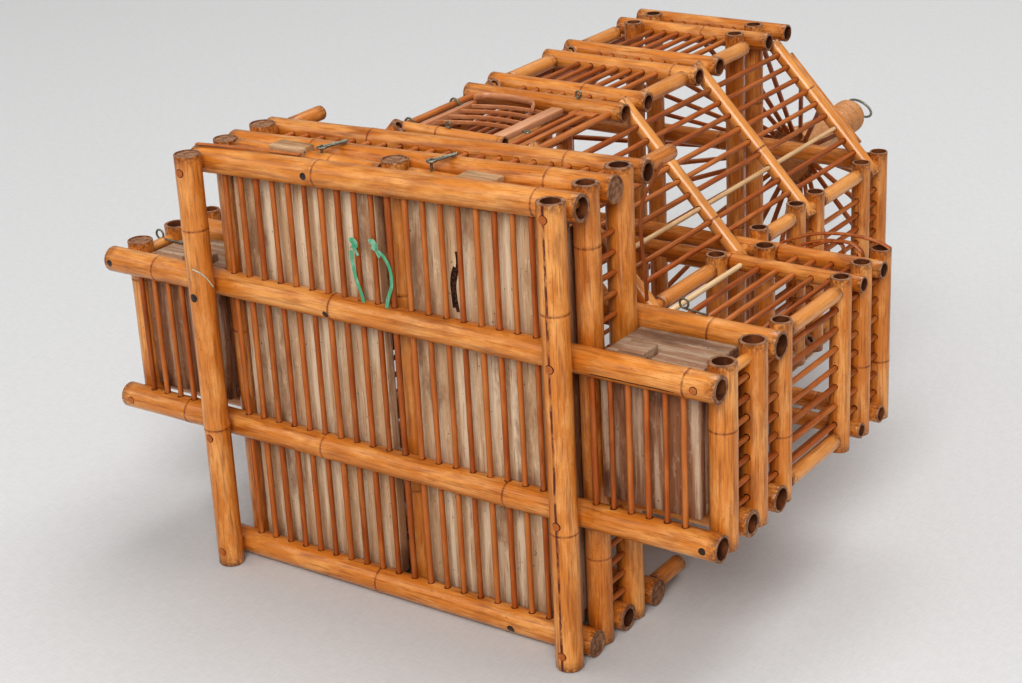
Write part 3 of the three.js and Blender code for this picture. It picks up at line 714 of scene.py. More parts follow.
def cane(start, end, radius, rings=None, bores=None, facing=UPRIGHT, tone=None, holes=(), singles=(),
         sides=24, bow=0.0, closed=(False, False), groove=0.0):
    """One bamboo cane with node rings. Rings are measured from its middle. An end is hollow, or
    closed by a knot of the cane. A row of holes is (from, to, pitch, first, count, side), a single
    hole is (place, angle, radius)."""
    sizes = bpy.context.scene.cage_sizes
    length = (end - start).length
    if bores is None:
        bores = [CLOSED_BORE if shut else sizes.bore + draw.uniform(-0.06, 0.06) for shut in closed]
    depths = [CLOSED_DEPTH if shut else min(sizes.bore_depth, length / 4) for shut in closed]
    if rings is None:
        rings = ring_spots(length)
    if tone is None:
        tone = draw.uniform(-0.22, 0.22)
    stops = {limit for row in holes for limit in row[:2]}
    stops |= {place + way * (size + SINGLE_EDGE) for place, _, size in singles for way in (-1, 1)}
    steps = cane_profile(length, radius, bores, rings, depths, sorted(stops))
    angle = draw.uniform(0, math.tau)
    piece = grow(steps, sides, (bow * math.cos(angle), bow * math.sin(angle)))
    mesh = piece.data
    places = points_of(mesh)
    heights = [step[0] for step in steps[3:-3]]
    marks = [step[2] for step in steps[3:-3]]
    ring = np.interp(places[:, 2], heights, marks)
    ends = np.clip(1 - (length / 2 - np.abs(places[:, 2])) / END_STAIN, 0, 1)
    note_cane(mesh, places, tone, ring, ends, holes, singles, groove)
    paint_cane(mesh, length / 2, radius * max(bores))
    stand(piece, start, end, facing)
    return piece


SAWN = 0.0011  # how far in from an end a face still counts as sawn


def paint_cane(mesh, half, bore):
    """Skin outside, sawn wall at the ends, and inside the hollow its brown darkened with painted shade."""
    look = materials()
    for name in ("skin", "cut", "hollow"):
        mesh.materials.append(look[name])
    centres = centres_of(mesh)
    radial = np.hypot(centres[:, 0], centres[:, 1])
    slots = np.zeros(len(centres), np.int32)
    at_end = np.abs(centres[:, 2]) > half - SAWN
    slots[at_end] = 1
    slots[~at_end & (radial < bore * 1.001)] = 2
    mesh.polygons.foreach_set("material_index", slots)


ROD_STEPS = (
    (-0.5, 0.82, 0.0), (-0.496, 0.97, 0.0), (-0.28, 1.0, 0.0), (-0.1, 0.95, 0.0), (0.07, 1.0, 0.0),
    (0.3, 0.94, 0.0), (0.496, 0.98, 0.0), (0.5, 0.8, 0.0),
)
MASTERS = {}


def master_rod():
    """The rod that all others are copied from: one metre long and one metre in radius."""
    if "rod" not in MASTERS:
        rod = grow(ROD_STEPS, 10)
        rod.data.materials.append(materials()["rod"])
        rod.name = "Rod to copy"
        MASTERS["rod"] = rod
    return MASTERS["rod"]


def copied(master):
    """A copy of a piece with its own mesh."""
    piece = master.copy()
    piece.data = master.data.copy()
    bpy.context.scene.collection.objects.link(piece)
    return piece


def rod(start, end, radius=None, tone=None, facing=WIDE, bow=0.0005, pale=False):
    """One thin rod, with its own tone and a slight bend."""
    radius = (radius or bpy.context.scene.cage_sizes.rod) * draw.uniform(0.94, 1.12)
    length = (end - start).length
    piece = copied(master_rod())
    mesh = piece.data
    places = points_of(mesh) * np.array((radius, radius, length), np.float32)
    angle = draw.uniform(0, math.tau)
    swell = 1 - (2 * places[:, 2] / length) ** 2
    lean = draw.uniform(0, bow) * swell
    bent = places.copy()
    bent[:, 0] += lean * math.cos(angle)
    bent[:, 1] += lean * math.sin(angle)
    mesh.vertices.foreach_set("co", bent.ravel())
    if tone is None:
        tone = draw.choice((-0.35, -0.15, 0.0, 0.1, 0.2, 0.35)) + draw.uniform(-0.08, 0.08)
    if pale:
        mesh.materials[0] = materials()["pale"]
    note_cane(mesh, places, tone)
    stand(piece, start, end, facing)
    return piece


def remove_masters():
    for master in MASTERS.values():
        bpy.data.objects.remove(master)
    MASTERS.clear()


def select(parts):
    """Selects these parts alone, with the first one active."""
    bpy.ops.object.select_all(action="DESELECT")
    for part in parts:
        part.select_set(True)
    bpy.context.view_layer.objects.active = parts[0]


def joined(name, parts):
    """Parts as one object at the origin, smooth where the faces meet at a low angle."""
    select(parts)
    if len(parts) > 1:
        bpy.ops.object.join()
    piece = bpy.context.object
    piece.name = name
    piece.data.name = name
    bpy.ops.object.transform_apply(location=True, rotation=True, scale=True)
    bpy.ops.object.shade_smooth_by_angle(angle=SMOOTH_ANGLE)
    return piece


def settle(node, parts, body="cage"):
    """Joins the parts into the piece that stands for a node."""
    piece = joined(node + "_piece", parts)
    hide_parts(node)
    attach(piece, body)
    return piece


def extra(name, parts, body="cage"):
    """Joins the parts into a small piece that has no node of its own."""
    piece = joined(name, parts)
    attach(piece, body)
    return piece


def box_part(low, high, material, bevel=0.0006, cuts=0):
    """A block between two corners with worn edges."""
    bpy.ops.object.select_all(action="DESELECT")
    bpy.ops.mesh.primitive_cube_add(size=1, location=(low + high) / 2)
    piece = bpy.context.object
    piece.dimensions = [abs(high[axis] - low[axis]) for axis in range(3)]
    bpy.ops.object.transform_apply(location=True, rotation=True, scale=True)
    bpy.ops.object.mode_set(mode="EDIT")
    bpy.ops.mesh.bevel(offset=bevel, segments=2, affect="EDGES")
    if cuts:
        bpy.ops.mesh.select_all(action="SELECT")
        bpy.ops.mesh.subdivide(number_cuts=cuts)
    bpy.ops.object.mode_set(mode="OBJECT")
    piece.data.materials.append(materials()[material])
    return piece


def wire_part(points, radius, material="wire", closed=False):
    """A round wire through the points."""
    curve = bpy.data.curves.new("Wire", "CURVE")
    curve.dimensions = "3D"
    curve.bevel_depth = radius
    curve.bevel_resolution = 2
    curve.use_fill_caps = True
    spline = curve.splines.new("NURBS")
    spline.points.add(len(points) - 1)
    for point, place in zip(spline.points, points):
        point.co = (*place, 1)
    spline.order_u = 3
    spline.use_endpoint_u = True
    spline.use_cyclic_u = closed
    spline.resolution_u = 4
    return curve_to_mesh(curve, material)


def resized(piece, share, centre):
    """Squashes or stretches a part about a point."""
    select([piece])
    bpy.ops.object.mode_set(mode="EDIT")
    bpy.ops.mesh.select_all(action="SELECT")
    bpy.ops.transform.resize(value=share, center_override=centre)
    bpy.ops.object.mode_set(mode="OBJECT")
    return piece


def strip_part(points, half_width, half_thick, material="rod", tone=0.1, wide_axis=2):
    """A thin bamboo strip, bent in a plane. Its width lies along the given axis."""
    piece = wire_part(points, half_thick, material)
    share = [1.0, 1.0, 1.0]
    share[wide_axis] = half_width / half_thick
    resized(piece, share, sum(points, Vector()) / len(points))
    order = (2, 1, 0) if wide_axis == 2 else (1, 0, 2)
    note_cane(piece.data, points_of(piece.data)[:, order], tone)
    return piece


def band_part(points, half_width, material):
    """A flat band seen from the base: squashed along the cage's height."""
    piece = wire_part(points, half_width, material)
    return resized(piece, (1.0, 0.16, 1.0), sum(points, Vector()) / len(points))


def cotter(centre, aim, loop, length, radius=0.0011):
    """A wire bent to a loop with two legs side by side. It lies across the depth."""
    aim = aim.normalized()
    side = Vector((-aim.y, aim.x, 0))
    gap = side * radius * 0.95
    turns = [centre + (aim * math.cos(turn) + side * math.sin(turn)) * loop
             for turn in (math.radians(45 + 30 * index) for index in range(10))]
    start, end = centre + aim * length + gap, centre + aim * (length - 0.002) - gap
    neck = centre + aim * loop * 1.5
    return wire_part([start, neck + gap, *turns, neck - gap, end], radius)


EYE_WIRE = 0.0009


def circle(centre, radius, first=0):
    """Twelve points round a centre, across the cage's height, from the first angle in degrees."""
    turns = (math.radians(first + 30 * index) for index in range(12))
    return [centre + Vector((math.cos(turn), 0, math.sin(turn))) * radius for turn in turns]


def screw_eye(centre, loop, *leg):
    """A wire loop that stands across the cage's height, and its leg."""
    return wire_part([*circle(centre, loop, -90), centre - Vector((0, 0, loop)), *leg], EYE_WIRE)


def curve_to_mesh(curve, material):
    piece = bpy.data.objects.new(curve.name, curve)
    bpy.context.scene.collection.objects.link(piece)
    select([piece])
    bpy.ops.object.convert(target="MESH")
    piece = bpy.context.object
    piece.data.materials.clear()
    piece.data.materials.append(materials()[material])
    bpy.ops.object.mode_set(mode="EDIT")
    bpy.ops.mesh.select_all(action="SELECT")
    bpy.ops.mesh.remove_doubles(threshold=0.00001)
    bpy.ops.mesh.normals_make_consistent(inside=False)
    bpy.ops.object.mode_set(mode="OBJECT")
    return piece


def base_depth(sizes, side, face):
    """Depth of the outer base rails at a corner: the upper ones lean, the lower ones lie flat."""
    return face * sizes.half_depth + (sizes.rack * side if face > 0 else 0)


def base_rail(sizes, height, face, thin=1.0, **details):
    half = sizes.half_body + sizes.end
    lean = sizes.rack * half / sizes.half_body if face > 0 else 0
    depth = face * sizes.half_depth
    return cane(at(-half, height, depth - lean), at(half, height, depth + lean),
                sizes.base_cane * thin, **details)


def rail(half, height, depth, radius, **details):
    return cane(at(-half, height, depth), at(half, height, depth), radius, **details)


def post(width, height, half, radius, **details):
    details.setdefault("facing", UPRIGHT)
    return cane(at(width, height, -half), at(width, height, half), radius, **details)


def node_cane(node, axis, radius, **details):
    """A cane along the longest side of a node's box."""
    low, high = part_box(node)
    start = (low + high) / 2
    end = start.copy()
    start[axis] = low[axis]
    end[axis] = high[axis]
    return cane(start, end, radius, **details)


def spacer(sizes, width, depth, below, above, **details):
    """A spacer round a corner bar, between the canes below and above it."""
    details.setdefault("tone", draw.uniform(0.25, 0.6))
    return cane(
        at(width, below + sizes.wall_cane + GAP, depth), at(width, above - sizes.wall_cane - GAP, depth),
        sizes.spacer, bores=(0.3, 0.3), facing=WIDE, sides=18, rings=(), **details)


def pin(sizes, width, depth, low, high, **details):
    """A corner bar's thin part, which goes through the canes."""
    details.setdefault("tone", draw.uniform(0.0, 0.3))
    return cane(at(width, low, depth), at(width, high, depth), sizes.pin, bores=(0.2, 0.2), facing=WIDE,
                sides=12, rings=(), **details)


def build_corner_bars(sizes):
    """The four main corner bars: thin through the stack, with thick free ends above it."""
    low = sizes.foot_post - sizes.base_cane + GAP / 4
    for side_name, side in SIDES:
        for face_name, face in FACES:
            width = side * sizes.half_body
            depth = base_depth(sizes, side, face)
            peg_spot = at(width, low, corner_peg(sizes, side, face))
            parts = [
                pin(sizes, width, depth, low + 0.010, sizes.stub_end - 0.004),
                rod(peg_spot, peg_spot + UPRIGHT * 0.014, 0.0032, tone=0.1, bow=0),
                cane(at(width, sizes.floor_top, depth), at(width, sizes.stub_end, depth),
                     sizes.spacer * (1.07 if (side, face) == (1, -1) else 1), facing=WIDE, rings=(), tone=0.1,
                     bores=(0.3, 0.55)),
            ]
            settle(f"corner_bar_{face_name}_{side_name}", parts)


FOOT_RINGS = {"left": (-0.054, 0.117), "right": (-0.070, 0.102)}
FOOT_HOLES = {"left": (0.0586, -0.0637), "right": (0.065, -0.059)}


def corner_peg(sizes, side, face):
    """Depth of the peg end of a corner bar in the face of its foot post."""
    return base_depth(sizes, side, face) - (0.0 if (side, face) == (1, 1) else face * 0.0024)


def peg(place, out, radius=0.0031):
    """The end of a peg that shows in its hole. Out is the way it points."""
    facing = Vector((out.y, out.z, out.x))
    return rod(place - out * 0.004, place, radius / 1.03, tone=0.2, facing=facing, bow=0)


def build_posts(sizes):
    """Foot, tray and floor posts, which run across the base."""
    front = sizes.foot_post - sizes.base_cane + GAP * 0.2
    for side_name, side in SIDES:
        node = f"foot_post_{side_name}"
        low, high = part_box(node)
        centre = (low.z + high.z) / 2 - LYING
        corners = [corner_peg(sizes, side, face) for _, face in FACES]
        singles = [(depth - centre, -90, 0.0037) for depth in (*FOOT_HOLES[side_name], *corners)]
        parts = [node_cane(node, 2, sizes.base_cane, rings=FOOT_RINGS[side_name], singles=singles,
                           groove=1.0 if side > 0 else 0.0, closed=(False, side < 0), tone=0.05)]
        parts += [peg(at(side * sizes.half_body, front, depth), -UPRIGHT)
                  for index, depth in enumerate(FOOT_HOLES[side_name]) if index or side > 0]
        settle(node, parts)
        for level in ("tray", "floor"):
            node = f"{level}_post_{side_name}"
            settle(node, [node_cane(node, 2, sizes.base_cane * (0.93 if level == "tray" else 1),
                                    closed=(False, side < 0))])
    settle("tray_post_middle", [
        node_cane("tray_post_middle", 2, sizes.base_cane, closed=(False, True), rings=(-0.090, 0.075))])


SLIVER = (  # width, rise over the rail and depth of each point on the first base rail
    (-0.177, 0.002, 0.1757), (-0.140, 0.003, 0.1770), (-0.105, 0.0035, 0.1779), (-0.078, 0.004, 0.1781),
)
SPLIT = (  # width and rise of each point on the second base rail
    (0.187, 0.0), (0.205, -0.0002), (0.225, 0.0001), (0.245, -0.0001), (0.262, 0.0003),
)


def even_holes(count, pitch, side, offset=0.0, limit=1.0):
    """A row of holes, evenly spaced about a cane's middle or about offset."""
    return [(-limit, limit, pitch, offset - (count - 1) / 2 * pitch, count, side)]


def wing_holes(sizes, count, pitch, first, side):
    """The same row of holes in both wings, from first outwards."""
    limit = sizes.half_body
    return [
        (limit, 1.0, pitch, first, count, side),
        (-1.0, -limit, pitch, -first - (count - 1) * pitch, count, side),
    ]


def frame_holes(sizes, side=0, skipped=0):
    """Holes of a wing's rods in a rail. The first rods may end below it."""
    first = sizes.first_frame_rod + skipped * FRAME_PITCH
    return wing_holes(sizes, FRAME_RODS - skipped, FRAME_PITCH, first, side)


def build_base_grille(sizes):
    """Four rails with the rods between them."""
    long_half = sizes.half_width + sizes.end
    wing_middle = (sizes.half_body + sizes.half_width - sizes.pin) / 2
    wing_first = wing_middle - (WING_RODS - 1) / 2 * WING_PITCH
    wing = sizes.half_wing
    front = sizes.base_rail - sizes.base_cane + GAP

    def holes(centre_side, wing_side):
        rows = even_holes(GRILLE_RODS, sizes.base_pitch, centre_side, limit=sizes.half_body)
        if wing_side:
            rows += wing_holes(sizes, WING_RODS, WING_PITCH, wing_first, wing_side)
        return rows

    parts = [
        base_rail(sizes, sizes.base_rail, 1, facing=DEEP, holes=holes(-1, 0),
                  singles=[(-0.063, 180, 0.0031)], rings=(-0.055, 0.143), tone=0.12),
        rail(long_half, sizes.base_rail, wing, sizes.base_cane, facing=DEEP, holes=holes(0, -1),
             singles=[(-0.281, 180, 0.003), (-0.053, 200, 0.0030), (0.271, 180, 0.0034)],
             rings=(-0.234, -0.050, 0.262), tone=0.10),
        rail(long_half, sizes.base_rail, -wing, sizes.base_cane, facing=DEEP, holes=holes(0, 1),
             singles=[(-0.276, 180, 0.0034), (0.276, 180, 0.0031)],
             rings=(-0.215, -0.070, 0.105), tone=0.04),
        base_rail(sizes, sizes.base_rail, -1, facing=DEEP, holes=holes(1, 0), closed=(False, True),
                  singles=[(0.106, 200, 0.0036)], rings=(-0.025,), tone=0.02),
        strip_part([at(width, sizes.base_rail + lift, depth) for width, lift, depth in SLIVER],
                   0.0026, 0.0007, tone=0.3, wide_axis=1),
        # The split along the rail: a thin dark wire of painted shade
        wire_part([at(width, sizes.base_rail - 0.0092 + lift, wing - 0.0048) for width, lift in SPLIT],
                  0.00045, "gap"),
        peg(at(0.271, front, wing), -UPRIGHT, 0.0028),
        peg(at(-0.276, front, -wing), -UPRIGHT, 0.0028),
    ]
    for width in spread(GRILLE_RODS, sizes.base_pitch):
        low = at(width, sizes.base_rail, -sizes.half_depth)
        high = at(width, sizes.base_rail, base_depth(sizes, width / sizes.half_body, 1))
        parts.append(rod(low, high))
    for side in (-1, 1):
        for offset in spread(WING_RODS, WING_PITCH):
            width = side * wing_middle + offset
            parts.append(rod(at(width, sizes.base_rail, -wing), at(width, sizes.base_rail, wing)))
    settle("base_grille", parts)


def build_tray_rails(sizes):
    """The rails of the tray and floor levels."""
    for face_name, face in FACES:
        tray = f"tray_rail_{face_name}"
        settle(tray, [base_rail(sizes, sizes.tray_rail, face, closed=(False, face > 0),
                                holes=even_holes(GRILLE_RODS, SCREEN_PITCH, 1))])
        floor = f"floor_rail_{face_name}"
        settle(floor, [base_rail(sizes, sizes.floor_rail, face, thin=0.86 if face > 0 else 1.0,
                                 holes=even_holes(GRILLE_RODS, SCREEN_PITCH, -1), closed=(False, face < 0))])
        wing = f"wing_floor_rail_{face_name}"
        settle(wing, [node_cane(wing, 0, sizes.base_cane, holes=frame_holes(sizes, 1))])
    settle("wing_tray_rail", [node_cane("wing_tray_rail", 0, sizes.base_cane)])


def build_small_rods(sizes):
    """Short rods between the tray and floor levels, round the base, and the boards' side strips."""
    for side_name, side in SIDES:
        width = side * sizes.half_body
        depths = [0.0765 + 0.016 * index for index in range(5)]
        depths += [-0.0765 - 0.0155 * index for index in range(6)]
        rods = [rod(at(width, sizes.tray_post, depth), at(width, sizes.floor_post, depth), tone=0.15)
                for depth in depths]
        extra(f"Side_rods_{side_name}", rods)
        # A guide strip of dark wood at each board's edge; its dark stands in for the shade along the board's
        # edge
        inner, outer = sorted((side * 0.1552, side * 0.1567))
        extra(f"Board_strip_{side_name}", [box_part(
            at(inner, sizes.tray_post - 0.010, -0.156), at(outer, sizes.tray_post + 0.013, 0.153),
            "tray", 0.0004)])
    for face_name, face in FACES:
        rods = []
        for width in spread(GRILLE_RODS, SCREEN_PITCH):
            depth = base_depth(sizes, width / sizes.half_body, face)
            rods.append(rod(at(width, sizes.tray_rail, depth), at(width, sizes.floor_rail, depth)))
        extra(f"Screen_rods_{face_name}", rods)


def bent_strip(name, points, height, half_width=0.0024, half_thick=0.0012, tone=0.1):
    """A bent strip in one plane across the cage. Points are its widths and depths in millimetres."""
    places = [at(width / 1000, height if len(rest) == 1 else rest[1] / 1000 + BASE, rest[0] / 1000)
              for width, *rest in points]
    return extra(name, [strip_part(places, half_width, half_thick, tone=tone, wide_axis=1)])


OUTER_ARCH = ((178, 56), (191.9, 64.4), (203.5, 69.7), (217.4, 74.7), (233, 77.9), (252.5, 79.2),
              (267.8, 78.3), (281, 74.8), (284, 72.5))
INNER_ARCHES = (
    ((200, 58), (210, 66), (221.3, 70.1), (233.1, 73.1), (240.9, 72.5), (245.6, 69.4), (245.7, 63.5)),
    ((215, 64), (228, 71.5), (240.9, 74.3), (252.5, 75.1), (260.3, 71.1), (263.4, 67.9), (264, 62)),
)
SIDE_STRIP = ((187, 183, 90), (183.5, 170, 86), (179.5, 159.8, 83), (176.8, 147.7, 83), (176.0, 120.8, 84),
              (177.5, 97.8, 85), (176.7, 77, 86))


def build_bent_strips(sizes):
    """Strips that are bent round the right wing."""
    bent_strip("Wing_arch_outer", OUTER_ARCH, sizes.wing_top, tone=-0.2)
    for index, points in enumerate(INNER_ARCHES):
        height = sizes.wing_top - 0.003 * (index + 1)
        bent_strip(f"Wing_arch_inner_{index + 1}", points, height, tone=-0.4 * index)
    bent_strip("Side_strip", SIDE_STRIP, 0, 0.0022, 0.0010, tone=-0.6)


def build_wing_walls(sizes):
    """The outer wall of each wing: posts, rods, corner bars and their spacers."""
    half = sizes.half_wing + sizes.end
    pitch = 0.016
    for side_name, side in SIDES:
        width = side * sizes.half_width
        parts = [
            post(width, height, half, radius, holes=even_holes(WALL_RODS, pitch, open_side),
                 tone=draw.uniform(-0.15, 0.15), closed=(False, side < 0 and height == sizes.tray_post))
            for height, radius, open_side in (
                (sizes.tray_post, sizes.base_cane, 1), (sizes.floor_post, sizes.base_cane, 0),
                (sizes.sill, sizes.wall_cane, 0), (sizes.head_post, sizes.wall_cane, 0),
                (sizes.eaves_post, sizes.wall_cane, 0), (sizes.wing_top, sizes.wall_cane, -1))
        ]
        for depth in spread(WALL_RODS, pitch):
            parts.append(rod(at(width, sizes.tray_post, depth), at(width, sizes.wing_top, depth)))
        for _, face in FACES:
            depth = face * sizes.half_wing
            parts.append(pin(sizes, width, depth, sizes.tray_post, sizes.wing_top))
            parts.append(spacer(sizes, width, depth, sizes.sill, sizes.head_post))
        settle(f"wing_wall_{side_name}", parts)


def build_wing_frames(sizes):
    """Upper and lower frame of the wings: two rails across the cage and the rods on the floor rail."""
    half = sizes.half_width + sizes.end
    for face_name, face in FACES:
        depth = face * sizes.half_wing
        parts = [
            rail(half, sizes.head_rail, depth, sizes.wall_cane * 0.78, holes=frame_holes(sizes)),
            rail(half, sizes.eaves_rail, depth, sizes.wall_cane * 0.86,
                 holes=frame_holes(sizes, -1, SHORT_RODS)),
        ]
        for side in (-1, 1):
            for index in range(FRAME_RODS):
                width = side * (sizes.first_frame_rod + index * FRAME_PITCH)
                top = sizes.head_rail if index < SHORT_RODS else sizes.eaves_rail
                pale = side > 0 and face > 0 and index == 0
                parts.append(rod(at(width, sizes.floor_top, depth), at(width, top, depth), pale=pale))
        settle(f"wing_frame_{face_name}", parts)


def build_inner_posts(sizes):
    """The single posts and beams: where the wings meet the tower, and across its top."""
    for node in ("head_post", "eaves_post", "cross_post_low", "cross_post_high"):
        for side_name, _ in SIDES:
            name = f"{node}_{side_name}"
            settle(name, [node_cane(name, 2, sizes.wall_cane)])
    for face_name, _ in FACES:
        name = f"roof_beam_{face_name}"
        settle(name, [node_cane(name, 0, sizes.wall_cane)])


def slant_spot(sizes, side, face, distance, height):
    """A place on a slanted wall, measured from the flat wall's corner bar."""
    top = Vector((sizes.crown_half, sizes.flat_depth))
    foot = Vector((sizes.half_body, sizes.half_wing))
    spot = top.lerp(foot, distance / (foot - top).length)
    return at(side * spot.x, height, face * spot.y)


def slant_length(sizes):
    return math.hypot(sizes.half_body - sizes.crown_half, sizes.flat_depth - sizes.half_wing)


def build_slanted_walls(sizes):
    """The four slanted walls of the tower."""
    length = slant_length(sizes)
    bars = ((sizes.sill, -sizes.pin_end, 1), (sizes.eaves_post, -sizes.pin_end, 0),
            (sizes.crown_tie, -sizes.pin_end, 0), (sizes.top_tie, 0.0055, -1))
    for side_name, side in SIDES:
        for face_name, face in FACES:
            parts = []
            for height, start, open_side in bars:
                start += 0.002
                end = length + sizes.pin_end - 0.0005
                holes = even_holes(SLANTED_RODS, sizes.slant_pitch, open_side, (length - start - end) / 2)
                parts.append(cane(
                    slant_spot(sizes, side, face, start, height), slant_spot(sizes, side, face, end, height),
                    sizes.slanted_cane * draw.uniform(0.95, 1.05), holes=holes,
                    tone=draw.uniform(0.25, 0.55), bores=(0.45, 0.45), sides=20))
            for index, offset in enumerate(spread(SLANTED_RODS, sizes.slant_pitch)):
                distance = length / 2 + offset
                pale = side > 0 and face > 0 and index == 6
                parts.append(rod(
                    slant_spot(sizes, side, face, distance, sizes.sill),
                    slant_spot(sizes, side, face, distance, sizes.top_tie), pale=pale))
            settle(f"slanted_wall_{face_name}_{side_name}", parts)


def build_flat_walls(sizes):
    """The flat walls of the tower, above and below as it lies."""
    half = sizes.crown_half + sizes.end
    for face_name, face in FACES:
        depth = face * sizes.flat_depth
        parts = []
        for height, open_side in ((sizes.head_rail, 1 if face > 0 else 0), (sizes.eaves_rail, 0),
                                  (sizes.crown_low, 0), (sizes.crown_high, 0), (sizes.top_low, 0),
                                  (sizes.top_high, -1)):
            parts.append(rail(half, height, depth, sizes.wall_cane * draw.uniform(0.9, 0.98),
                              holes=even_holes(WALL_RODS, sizes.flat_pitch, open_side)))
        low = sizes.head_rail if face > 0 else sizes.floor_top
        for width in spread(WALL_RODS, sizes.flat_pitch):
            parts.append(rod(at(width, low, depth), at(width, sizes.top_high, depth)))
        for side in (-1, 1):
            width = side * sizes.crown_half
            top = sizes.top_post - sizes.wall_cane - GAP
            parts.append(pin(sizes, width, depth, low, top))
            for below, above in ((sizes.eaves_rail, sizes.crown_low), (sizes.crown_high, sizes.top_post)):
                parts.append(spacer(sizes, width, depth, below, above))
            if face < 0:
                parts.append(spacer(sizes, width, depth, sizes.sill, sizes.head_rail))
            else:
                parts.append(rod(at(width, sizes.floor_top, depth), at(width, low, depth), 0.0031, tone=0.35))
        settle(f"flat_wall_{face_name}", parts)


def build_side_walls(sizes):
    """The side walls of the tower, above the wings."""
    half = sizes.half_wing + sizes.end
    for side_name, side in SIDES:
        width = side * sizes.half_body
        parts = []
        for height, open_side in ((sizes.wing_top, 1), (sizes.crown_low, 0), (sizes.crown_high, 0),
                                  (sizes.top_low, 0), (sizes.top_high, -1)):
            parts.append(post(width, height, half, sizes.wall_cane * draw.uniform(0.93, 1),
                              holes=even_holes(WALL_RODS, sizes.flat_pitch, open_side)))
        for depth in spread(WALL_RODS, sizes.flat_pitch):
            parts.append(rod(at(width, sizes.wing_top, depth), at(width, sizes.top_high, depth)))
        for _, face in FACES:
            depth = face * sizes.half_wing
            parts.append(pin(sizes, width, depth, sizes.floor_top, sizes.top_high))
            for below, above in ((sizes.sill, sizes.head_post), (sizes.wing_top, sizes.crown_low),
                                 (sizes.crown_high, sizes.top_low)):
                parts.append(spacer(sizes, width, depth, below, above))
        settle(f"side_wall_{side_name}", parts)


def build_roof(sizes):
    """Eight fans of rods that lean in to a collar under the finial."""
    batten = 0.003
    collar = 0.026
    height = middle("roof_upper").y + span("roof_upper", 1) / 2 - batten
    half = sizes.half_wing - 0.004
    length = slant_length(sizes)
    high = sizes.top_high + sizes.wall_cane + GAP + batten
    low = sizes.top_tie + sizes.wall_cane + GAP + batten
    inset = 0.024
    fans = [
        ("roof_upper", at(half, high, sizes.flat_depth), at(-half, high, sizes.flat_depth), math.pi / 2),
        ("roof_lower", at(-half, high, -sizes.flat_depth), at(half, high, -sizes.flat_depth), -math.pi / 2),
        ("roof_right", at(sizes.half_body, high, -half), at(sizes.half_body, high, half), 0.0),
        ("roof_left", at(-sizes.half_body, high, half), at(-sizes.half_body, high, -half), math.pi),
    ]
    for side_name, side in SIDES:
        for face_name, face in FACES:
            ends = [slant_spot(sizes, side, face, inset, low),
                    slant_spot(sizes, side, face, length - inset, low)]
            if side * face > 0:
                ends.reverse()
            fans.append((f"roof_slanted_{face_name}_{side_name}", *ends, math.atan2(face, side)))
    chord = (collar - batten) * math.tan(math.pi / 8) - GAP
    for name, eave_start, eave_end, angle in fans:
        out = Vector((math.cos(angle), 0, math.sin(angle)))
        across = Vector((-math.sin(angle), 0, math.cos(angle)))
        centre = at(0, height, 0) + out * collar
        collar_start = centre - across * chord
        collar_end = centre + across * chord
        parts = [cane(start, end, batten, rings=(), bores=(0.2, 0.2), sides=12, tone=0.1)
                 for start, end in ((eave_start, eave_end), (collar_start, collar_end))]
        for index in range(3):
            share = (index + 0.5) / 3
            parts.append(rod(eave_start.lerp(eave_end, share), collar_start.lerp(collar_end, share),
                             facing=UPRIGHT))
        settle(name, parts)


FINIAL_LEAN = math.radians(2.7)
FINIAL_PROFILE = (  # height and radius, in metres, from the foot up
    (0.0, 0.0290), (0.0015, 0.0300), (0.0075, 0.0300), (0.0090, 0.0292), (0.0100, 0.0262),
    (0.0125, 0.0268), (0.0150, 0.0262), (0.0170, 0.0240), (0.0240, 0.0236), (0.0380, 0.0216),
    (0.0540, 0.0198), (0.0720, 0.0180), (0.0900, 0.0163), (0.1000, 0.0140), (0.1060, 0.0130),
    (0.1090, 0.0138), (0.1100, 0.0150), (0.1130, 0.0152), (0.1142, 0.0140), (0.1156, 0.0160),
    (0.1190, 0.0176), (0.1225, 0.0176), (0.1242, 0.0164), (0.1256, 0.0158), (0.1272, 0.0166),
    (0.1300, 0.0179), (0.1340, 0.0176), (0.1375, 0.0160), (0.1400, 0.0120), (0.1410, 0.0070),
    (0.1425, 0.0050), (0.1490, 0.0047), (0.1512, 0.0036), (0.1520, 0.0012),
)


def build_finial(sizes):
    """Turned finial with a grooved knob, and the wire ring through its tip."""
    low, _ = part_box("finial")
    tilt = Matrix.Rotation(FINIAL_LEAN, 4, "X")
    foot = Vector((0, low.y + FINIAL_PROFILE[1][1] * math.sin(FINIAL_LEAN), LYING))
    turned = grow([(height, radius, 0.0) for height, radius in FINIAL_PROFILE], 40)
    upright = Matrix.Rotation(-math.pi / 2, 4, "X")
    turned.matrix_world = Matrix.Translation(foot) @ tilt @ upright
    turned.data.materials.append(materials()["turned"])
    settle("finial", [turned])
    ring_low, ring_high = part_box("hanging_ring")
    wire = 0.0013
    radius = (ring_high.y - ring_low.y) / 2 / math.cos(FINIAL_LEAN * 0.5) - wire
    hole = Vector((0.85, 0, -0.53)).normalized()  # the way that the hole for the ring runs
    normal = tilt @ hole.cross(UPRIGHT)
    bpy.ops.object.select_all(action="DESELECT")
    bpy.ops.mesh.primitive_torus_add(
        major_radius=radius, minor_radius=wire, major_segments=56, minor_segments=12,
        location=(ring_low + ring_high) / 2, rotation=normal.to_track_quat("Z", "Y").to_euler())
    ring = bpy.context.object
    ring.data.materials.append(materials()["wire"])
    settle("hanging_ring", [ring], body="ring")


def weathered(piece, depth, step):
    """Wears a board's surface: shallow hollows along its grain."""
    places = points_of(piece.data)
    low, high = places.min(0), places.max(0)
    wave = np.sin(places[:, 0] * 2.1 / step + 1.3) * np.sin(places[:, 2] / (3 * step))
    inward = np.sign(places[:, 1] - (low[1] + high[1]) / 2)
    places[:, 1] -= inward * depth * (0.5 + 0.5 * wave)
    piece.data.vertices.foreach_set("co", places.ravel())


